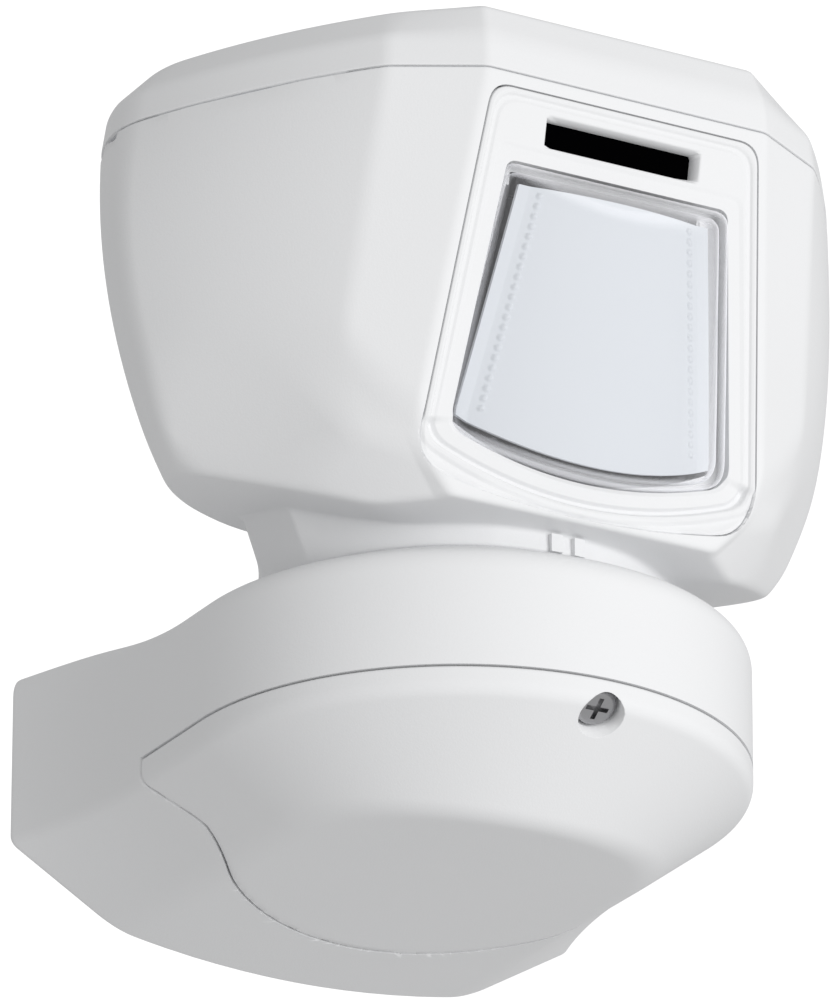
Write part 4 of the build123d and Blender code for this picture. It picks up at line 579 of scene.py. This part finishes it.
for z in (68.0, 76.0, 84.0):
    join(rear_shell, prism("slot", rounded(15.0, z - 1.2, z + 1.2, 1.19), 2.0, 44.0, upright), "DIFFERENCE")
settle(rear_shell, white_abs, "head", ["rear_cover"])

# ============================================================ top cap
# The lid over the head: a short upright band under a bevel and a flat top, one screw from above.
# White ABS, moulded thin, with a tongue that drops inside the housing.
CAP_LEVEL, CAP_BAND_LEVEL, CAP_TOP = SEAM_LEVEL + 0.3, SEAM_LEVEL + 6.6, SEAM_LEVEL + 14.0


def cap_corners(inset):
    return corners(HEAD_FRONT - 3.5 * inset, 28.9 - inset, (44.7 - 5.0 * inset, -52.2 + 4.5 * inset),
                   (73.4 - 8.0 * inset, -6.0), (50.0 - 4.0 * inset, 21.0 - 5.0 * inset))


def cap(x, y, z, low=CAP_LEVEL, inset=0.0):
    band, bevel = None, None
    for i in (7, 0, 6, 1, 5, 3, 2, 4):
        soft = CORNER_SOFT[i]
        side = facet(x, y, z, cap_corners(0.12), cap_corners(0.0), CAP_BAND_LEVEL, CAP_LEVEL, i,
            FACET_BOW[i])
        top = facet(x, y, z, cap_corners(1.0), cap_corners(0.12), CAP_TOP, CAP_BAND_LEVEL, i, FACET_BOW[i])
        band = side if band is None else soft_max(band, side, soft)
        bevel = top if bevel is None else soft_max(bevel, top, soft)
    body = soft_max(soft_max(band, bevel, 0.8), z - CAP_TOP, 1.2) + inset
    return soft_max(body, low - z, 0.35)


CAP_MID = (0.0, AXIS_Y, 110.0)
cap_low = head_cast(SEAM_LEVEL) * (1, 1, 0) + (0, 0, CAP_LEVEL)
cap_band = cap_low * (1, 1, 0) + (0, 0, CAP_BAND_LEVEL)
cap_high = shrunk(cap_low, 0.9, HEAD_MID) * (1, 1, 0) + (0, 0, CAP_TOP)
cap_rings = spread(
    (shrunk(cap_high, 0.03, CAP_MID), 16), (shrunk(cap_high, 0.9, CAP_MID), 18), (cap_high, 26),
        (cap_band, 14), (cap_low + (0, 0, 0.6), 5),
    (cap_low, 5), (shrunk(cap_low, 0.97, CAP_MID), 8), (shrunk(cap_low, 0.03, CAP_MID), 1),
)
cap_shell = shell("cap_shell", cap, CAP_MID, cap_rings)
join(cap_shell, shell("hollow", lambda x, y, z: cap(x, y, z, 100.0, WALL), CAP_MID, cap_rings[::2, ::2]),
    "DIFFERENCE")
inside = cad_copy("top_cap")
join(inside, shell("keep", lambda x, y, z: cap(x, y, z, 90.0, 1.1), CAP_MID, cap_rings[::2, ::2]),
    "INTERSECT")
join(cap_shell, inside, "UNION")
join(cap_shell, prism("screw_seat", disc(3.5, 0, AXIS_Y + 9.0), CAP_TOP - 5, CAP_TOP + 5), "DIFFERENCE")
join(cap_shell, prism("screw_hole", disc(1.9, 0, AXIS_Y + 9.0), 90, CAP_TOP), "DIFFERENCE")
settle(cap_shell, white_abs, "cap", ["top_cap"])

# ============================================================ bezel
# The frame round the window and the slot: a raised bead, flat side strips that end in small
# chamfered ledges, and below them a channel and a ring that sweep round under the window.
BEZEL_T = 3.0


def bezel_height(x, y):
    """Height of the bezel's front over the face."""
    out, into, down = on_face(x, y, **BEZEL), on_face(x, y, **WINDOW), -y
    slot = on_face(x, y, **SLOT)
    rim = np.interp(-out, [0.0, 0.25, 0.7, 1.15, 1.5, 2.1, 2.6], [-0.35, 0.1, 0.28, 0.1, -0.3, -0.28, 0.0])
    strip = np.interp(into, [0.0, 0.4, 2.6, 3.4, 20.0], [-0.45, -0.3, -0.25, 0.0, 0.0])
    upper = rim + strip
    lower_rim = np.interp(-out, [0.0, 0.25, 0.7, 1.3, 1.8], [-0.35, 0.12, 0.3, 0.1, 0.0])
    lower = lower_rim + np.interp(
        into, [0.0, 0.5, 1.0, 3.0, 3.5, 4.1, 4.5, 4.9, 5.5, 6.1, 6.7, 8.2, 9.4],
        [-1.2, -1.0, -0.75, -1.25, -2.0, -2.0, -0.9, -0.75, -0.95, -1.5, -1.6, -1.3, -0.15],
    )
    ledge = np.clip((down - 63.6 - 0.25 * into) / 1.5, 0, 1)
    ledge = ledge * ledge * (3 - 2 * ledge)
    return upper + (lower - upper) * ledge


across = np.concatenate([np.linspace(0, 0.2, 17)[:-1], np.linspace(0.2, 0.75, 37)[:-1],
    np.linspace(0.75, 1.0, 26)])
outer, inner = face_ring(BEZEL, -0.14, 1200), face_ring(WINDOW, 0.3, 1200)
flat = inner[None] + (outer - inner)[None] * across[:, None, None]
front = np.concatenate([flat, bezel_height(flat[..., 0], flat[..., 1])[..., None]], -1)
back_low = np.concatenate([inner, np.full((1200, 1), -BEZEL_T)], -1)[None]
back_high = np.concatenate([outer, np.full((1200, 1), -BEZEL_T)], -1)[None]
loop = np.concatenate([front, back_high, back_low], 0)
rows, columns = loop.shape[:2]
faces = [
    (r * columns + c, r * columns + (c + 1) % columns, (r + 1) % rows * columns + (c + 1) % columns,
        (r + 1) % rows * columns + c)
    for r in range(rows) for c in range(columns)
]
bezel_ring = mesh_object("bezel_ring", [tuple(face @ Vector(p)) for p in loop.reshape(-1, 3)],
    [f[::-1] for f in faces])
work = bmesh.new()
work.from_mesh(bezel_ring.data)
bmesh.ops.recalc_face_normals(work, faces=work.faces)
work.to_mesh(bezel_ring.data)
work.free()


def tapered(name, outline, stops, centre):
    """Cutter on the face with walls that widen from stop to stop: pairs of height and growth."""
    rings = [np.concatenate([face_ring(outline, grow, 160, centre), np.full((160, 1), h)], -1) for h,
        grow in stops]
    placed = np.array([[tuple(face @ Vector(p)) for p in ring] for ring in rings])
    piece = skin(name, placed, placed[0].mean(0), placed[-1].mean(0))
    work = bmesh.new()
    work.from_mesh(piece.data)
    bmesh.ops.recalc_face_normals(work, faces=work.faces)
    work.to_mesh(piece.data)
    work.free()
    return piece


SLOT_STOPS = [(-4.0, 0.0), (-2.2, 0.0), (-0.25, 0.5), (0.05, 0.8), (1.0, 1.6)]
join(bezel_ring, tapered("slot_cut", SLOT, SLOT_STOPS, slot_mid), "DIFFERENCE")
settle(bezel_ring, white_abs, "head", ["bezel"], sharp=50.0)

# ============================================================ window
# The clear front: a drum that stands out of the face, its top sloping back like a visor.
# One thin moulding in clear polycarbonate, clamped by a flange behind the bezel; towards its edges a painted white
# highlight stands in for light carried through the plastic.
WINDOW_BULGE, WINDOW_T, FLANGE = 5.0, 1.3, 3.6


def drum(x, half, rise):
    radius = (half * half + rise * rise) / (2 * rise)
    return np.sqrt(np.maximum(radius * radius - x * x, 0.0)) - radius + rise


def window_body(x, y, z, inset=0.0, back=-5.0):
    edge = on_face(x, y, **WINDOW) + inset
    front = (z - drum(x, WINDOW["low_half"], WINDOW_BULGE) + 0.5) + inset
    visor = (z - 0.35 - (-y - WINDOW["top"]) * 0.58) * 0.865 + inset
    body = soft_max(soft_max(front, visor, 0.9), edge, 1.8)
    return soft_max(body, back - z, 0.3)


WINDOW_MID = (0.0, -43.0, -2.0)
count = 720
ring_base = face_ring(WINDOW, 0.0, count, (0.0, -43.0))
edge_ring = np.concatenate([ring_base, np.full((count, 1), 1.5)], -1)


def window_rings(back):
    top = shrunk(edge_ring, 0.93, WINDOW_MID) * (1, 1, 0) + (0, 0, 3.6)
    low = edge_ring * (1, 1, 0) + (0, 0, back)
    return spread((shrunk(top, 0.02, WINDOW_MID), 60), (top, 16), (edge_ring, 12), (low, 3),
        (shrunk(low, 0.9, WINDOW_MID), 3),
                  (shrunk(low, 0.03, WINDOW_MID), 1))


def on_the_face(piece):
    """Move a piece made in the face's own coordinates to its place."""
    for vertex in piece.data.vertices:
        vertex.co = (face @ (vertex.co / MM)) * MM
    return piece


clear_drum = shell("clear_drum", window_body, WINDOW_MID, window_rings(-5.0))
flange_ring = prism("flange", face_ring(WINDOW, 2.5).tolist(), -FLANGE - 1.4, -FLANGE)
join(clear_drum, flange_ring, "UNION")
join(clear_drum, shell("hollow", lambda x, y, z: window_body(x, y, z, WINDOW_T, -9.0), WINDOW_MID,
    window_rings(-9.0)), "DIFFERENCE")
on_the_face(clear_drum)
clear_pc = bpy.data.materials.new("clear_polycarbonate")
clear_pc.use_nodes = True
tree = clear_pc.node_tree
tree.nodes.remove(tree.nodes["Principled BSDF"])
sheen = tree.nodes.new("ShaderNodeBsdfGlossy")
where = tree.nodes.new("ShaderNodeTexCoord")
ripple = tree.nodes.new("ShaderNodeTexNoise")
ripple.inputs["Scale"].default_value = 60.0
tree.links.new(where.outputs["Object"], ripple.inputs["Vector"])
haze = tree.nodes.new("ShaderNodeMapRange")
haze.inputs["To Min"].default_value = 0.06
haze.inputs["To Max"].default_value = 0.12
tree.links.new(ripple.outputs["Fac"], haze.inputs["Value"])
tree.links.new(haze.outputs["Result"], sheen.inputs["Roughness"])
through = tree.nodes.new("ShaderNodeBsdfTransparent")
through.inputs["Color"].default_value = (0.985, 0.985, 0.99, 1)
facing = tree.nodes.new("ShaderNodeLayerWeight")
facing.inputs["Blend"].default_value = 0.5
edge_on = tree.nodes.new("ShaderNodeMath")
edge_on.operation = "POWER"
edge_on.inputs[1].default_value = 4.0
tree.links.new(facing.outputs["Facing"], edge_on.inputs[0])
shine = tree.nodes.new("ShaderNodeMath")
shine.operation = "MULTIPLY_ADD"
shine.inputs[1].default_value = 0.5
shine.inputs[2].default_value = 0.03
tree.links.new(edge_on.outputs["Value"], shine.inputs[0])
mix = tree.nodes.new("ShaderNodeMixShader")
tree.links.new(shine.outputs["Value"], mix.inputs["Fac"])
tree.links.new(through.outputs["BSDF"], mix.inputs[1])
tree.links.new(sheen.outputs["BSDF"], mix.inputs[2])
# Painted highlight: towards grazing angles the clear window is mixed into a white diffuse and a translucent shader
# added together, which paints its edges and side walls white as if lit through the plastic.
painted_edge_white = tree.nodes.new("ShaderNodeBsdfDiffuse")
painted_edge_white.inputs["Color"].default_value = (0.92, 0.92, 0.94, 1)
painted_edge_through = tree.nodes.new("ShaderNodeBsdfTranslucent")
painted_edge_through.inputs["Color"].default_value = (0.45, 0.45, 0.47, 1)
painted_edge_light = tree.nodes.new("ShaderNodeAddShader")
tree.links.new(painted_edge_white.outputs["BSDF"], painted_edge_light.inputs[0])
tree.links.new(painted_edge_through.outputs["BSDF"], painted_edge_light.inputs[1])
painted_edge_mask = tree.nodes.new("ShaderNodeMapRange")
painted_edge_mask.inputs["From Min"].default_value = 0.25
painted_edge_mask.inputs["To Min"].default_value = 0.03
painted_edge_mask.inputs["To Max"].default_value = 0.75
tree.links.new(facing.outputs["Facing"], painted_edge_mask.inputs["Value"])
body_mix = tree.nodes.new("ShaderNodeMixShader")
tree.links.new(painted_edge_mask.outputs["Result"], body_mix.inputs["Fac"])
tree.links.new(mix.outputs["Shader"], body_mix.inputs[1])
tree.links.new(painted_edge_light.outputs["Shader"], body_mix.inputs[2])
tree.links.new(body_mix.outputs["Shader"], tree.nodes["Material Output"].inputs["Surface"])
settle(clear_drum, clear_pc, "head", ["window"], sharp=40.0)
clear_drum.visible_shadow = clear_drum.visible_diffuse = False

# ============================================================ lens sheet
# The Fresnel lens: a thin milky polyethylene sheet bowed across, its grooves on the inside.
# A row of small raised dots runs down each side where it is stitched to the optics chassis.
LENS_DEPTH, LENS_BULGE, LENS_T = 3.6, 5.0, 0.8
BORDER, LOW_BORDER = 2.4, 1.2
columns, rows = 241, 241
u, v = np.meshgrid(np.linspace(-1, 1, columns), np.linspace(0, 1, rows))
bow = LENS["bow"] * (1 - u * u)
down = LENS["top"] + (LENS["low"] + LOW_BORDER + bow - LENS["top"]) * v
half = LENS["top_half"] + (LENS["low_half"] - LENS["top_half"]) * np.minimum((down - LENS["top"]) / (LENS["low"] - LENS["top"]), 1.0)
x = u * (half + BORDER)
rise = drum(np.clip(x, -half, half), LENS["low_half"], LENS_BULGE) - LENS_DEPTH
pitch = 1.9
dot_down = (down - 21.0) / pitch
from_dot = np.hypot(np.abs(x) - (half - 1.9), (dot_down - np.round(dot_down)) * pitch)
dots = np.where((down > 20.6) & (down < LENS["low"] - 0.2),
    0.5 * np.sqrt(np.maximum(1 - (from_dot / 0.62) ** 2, 0)), 0)
grooves = 0.05 * np.abs(np.mod(np.hypot(x, down - 41.0) / 0.9, 1.0) - 0.5)
front = np.stack([x, -down, rise + dots], -1)
back = np.stack([x, -down, rise - LENS_T + grooves], -1)
points = np.concatenate([front.reshape(-1, 3), back.reshape(-1, 3)])
size = rows * columns
faces = []
for r in range(rows - 1):
    for c in range(columns - 1):
        a = r * columns + c
        faces.append((a, a + columns, a + columns + 1, a + 1))
        faces.append((size + a, size + a + 1, size + a + columns + 1, size + a + columns))
for r in range(rows - 1):
    for a, b in ((r * columns, (r + 1) * columns),
        ((r + 1) * columns + columns - 1, r * columns + columns - 1)):
        faces.append((a, size + a, size + b, b))
for c in range(columns - 1):
    for a, b in ((c + 1, c), ((rows - 1) * columns + c, (rows - 1) * columns + c + 1)):
        faces.append((a, size + a, size + b, b))
lens_film = mesh_object("lens_film", [tuple(face @ Vector(p)) for p in points], faces)
milky = moulded("milky_film", (0.70, 0.73, 0.765), 0.4, depth=0.05, scale=900.0)
milky.node_tree.nodes["Principled BSDF"].inputs["Coat Weight"].default_value = 0.0
settle(lens_film, milky, "optics", ["lens_sheet"], sharp=60.0)

# ============================================================ inside and small parts
# The parts that keep their CAD shape: boards, cells, switches, springs, screws, gaskets and plates.
# Each gets the finish of what it is really made of.
def brushed(name, colour, roughness, scratch=0.06):
    """Metal with fine streaks and duller patches."""
    made = bpy.data.materials.new(name)
    made.use_nodes = True
    tree = made.node_tree
    shader = tree.nodes["Principled BSDF"]
    shader.inputs["Metallic"].default_value = 1.0
    shader.inputs["Base Color"].default_value = (*colour, 1)
    place = tree.nodes.new("ShaderNodeTexCoord")
    stretch = tree.nodes.new("ShaderNodeMapping")
    stretch.inputs["Scale"].default_value = (1.0, 1.0, 14.0)
    tree.links.new(place.outputs["Object"], stretch.inputs["Vector"])
    streak = tree.nodes.new("ShaderNodeTexNoise")
    streak.inputs["Scale"].default_value = 420.0
    streak.inputs["Detail"].default_value = 5.0
    tree.links.new(stretch.outputs["Vector"], streak.inputs["Vector"])
    rough = tree.nodes.new("ShaderNodeMapRange")
    rough.inputs["To Min"].default_value = roughness - scratch
    rough.inputs["To Max"].default_value = roughness + scratch
    tree.links.new(streak.outputs["Fac"], rough.inputs["Value"])
    tree.links.new(rough.outputs["Result"], shader.inputs["Roughness"])
    bump = tree.nodes.new("ShaderNodeBump")
    bump.inputs["Strength"].default_value = 0.15
    bump.inputs["Distance"].default_value = 0.0001
    tree.links.new(streak.outputs["Fac"], bump.inputs["Height"])
    tree.links.new(bump.outputs["Normal"], shader.inputs["Normal"])
    return made


finishes = {
    "shell_white": white_abs,
    "inner_plastic": moulded("inner_plastic", (0.72, 0.73, 0.74), 0.45),
    "dark_plastic": moulded("dark_plastic", (0.02, 0.02, 0.022), 0.45),
    "black_window": moulded("black_window", (0.0006, 0.0006, 0.0008), 0.5, depth=0.02, specular=0.0),
    "grey_rubber": moulded("grey_rubber", (0.62, 0.63, 0.65), 0.7, depth=0.5),
    "steel": brushed("steel", (0.42, 0.42, 0.43), 0.3),
    "spring_steel": brushed("spring_steel", (0.5, 0.5, 0.5), 0.26),
    "board_green": moulded("board_green", (0.02, 0.14, 0.055), 0.35, depth=0.3, scale=900.0, coat=0.4),
    "board_white": moulded("board_white", (0.7, 0.71, 0.68), 0.35, depth=0.2, scale=900.0, coat=0.3),
    "component_black": moulded("component_black", (0.018, 0.018, 0.018), 0.5, depth=0.4),
    "can_metal": brushed("can_metal", (0.66, 0.65, 0.62), 0.22),
    "mirror": brushed("mirror", (0.86, 0.86, 0.87), 0.05, 0.02),
    "terminal_grey": moulded("terminal_grey", (0.2, 0.22, 0.24), 0.42),
    "led": moulded("led", (0.75, 0.08, 0.06), 0.15, depth=0.02, coat=0.6),
    "cell_sleeve": moulded("cell_sleeve", (0.05, 0.09, 0.2), 0.25, depth=0.05, coat=0.5),
    "contact_nickel": brushed("contact_nickel", (0.7, 0.67, 0.6), 0.2),
    "radio_metal": brushed("radio_metal", (0.6, 0.61, 0.62), 0.3),
    "copper": brushed("copper", (0.76, 0.4, 0.25), 0.25),
    "washer_white": moulded("washer_white", (0.78, 0.78, 0.76), 0.35),
}
for name, piece in nodes.items():
    had = piece.data.materials[0].name.split(".")[0] if piece.data.materials else ""
    if had in finishes:
        piece.data.materials.clear()
        piece.data.materials.append(finishes[had])

# ============================================================ stage, light and camera
# A pale floor far below the wall-hung detector, one large soft light in front and an even pale room.
floor = mesh_object("floor", [(-8000, -8000, -1200), (8000, -8000, -1200), (8000, 8000, -1200),
    (-8000, 8000, -1200)], [(0, 1, 2, 3)])
floor.data.materials.append(moulded("pale_floor", (0.86, 0.86, 0.86), 0.8, depth=0.1, scale=300.0))

world = bpy.data.worlds.new("studio")
bpy.context.scene.world = world
world.use_nodes = True
room = world.node_tree
back = room.nodes["Background"]
back.inputs["Color"].default_value = (1, 1, 1, 1)
path = room.nodes.new("ShaderNodeLightPath")
level = room.nodes.new("ShaderNodeMapRange")
level.inputs["To Min"].default_value = 0.53
level.inputs["To Max"].default_value = 1.1
room.links.new(path.outputs["Is Camera Ray"], level.inputs["Value"])
room.links.new(level.outputs["Result"], back.inputs["Strength"])


def softbox(name, place, aim, size, watts):
    lamp = bpy.data.lights.new(name, "AREA")
    lamp.shape, lamp.size, lamp.size_y, lamp.energy = "RECTANGLE", size[0], size[1], watts
    made = bpy.data.objects.new(name, lamp)
    made.location = place
    made.rotation_euler = (Vector(aim) - Vector(place)).to_track_quat("-Z", "Y").to_euler()
    made.visible_glossy = False
    bpy.context.scene.collection.objects.link(made)


softbox("key", (0.3, -1.8, -0.2), (0, -0.06, 0.04), (0.9, 0.9), 18.5)

CAMERA_AZ, CAMERA_EL, CAMERA_FAR = math.radians(29.8), math.radians(22.3), 1.8
camera = bpy.data.objects.new("camera", bpy.data.cameras.new("camera"))
bpy.context.scene.collection.objects.link(camera)
look = Vector((math.sin(CAMERA_AZ) * math.cos(CAMERA_EL), math.cos(CAMERA_AZ) * math.cos(CAMERA_EL),
    math.sin(CAMERA_EL)))
camera.location = Vector((0, -0.0621, 0.043)) - look * CAMERA_FAR
camera.rotation_mode = "QUATERNION"
camera.rotation_quaternion = look.to_track_quat("-Z", "Y")
camera.data.sensor_width = 36.0
camera.data.lens = 356.4
camera.data.shift_x, camera.data.shift_y = -0.0401, 0.0358
camera.data.clip_start, camera.data.clip_end = 0.05, 30.0
bpy.context.scene.camera = camera
bpy.context.scene.view_settings.view_transform = "Standard"
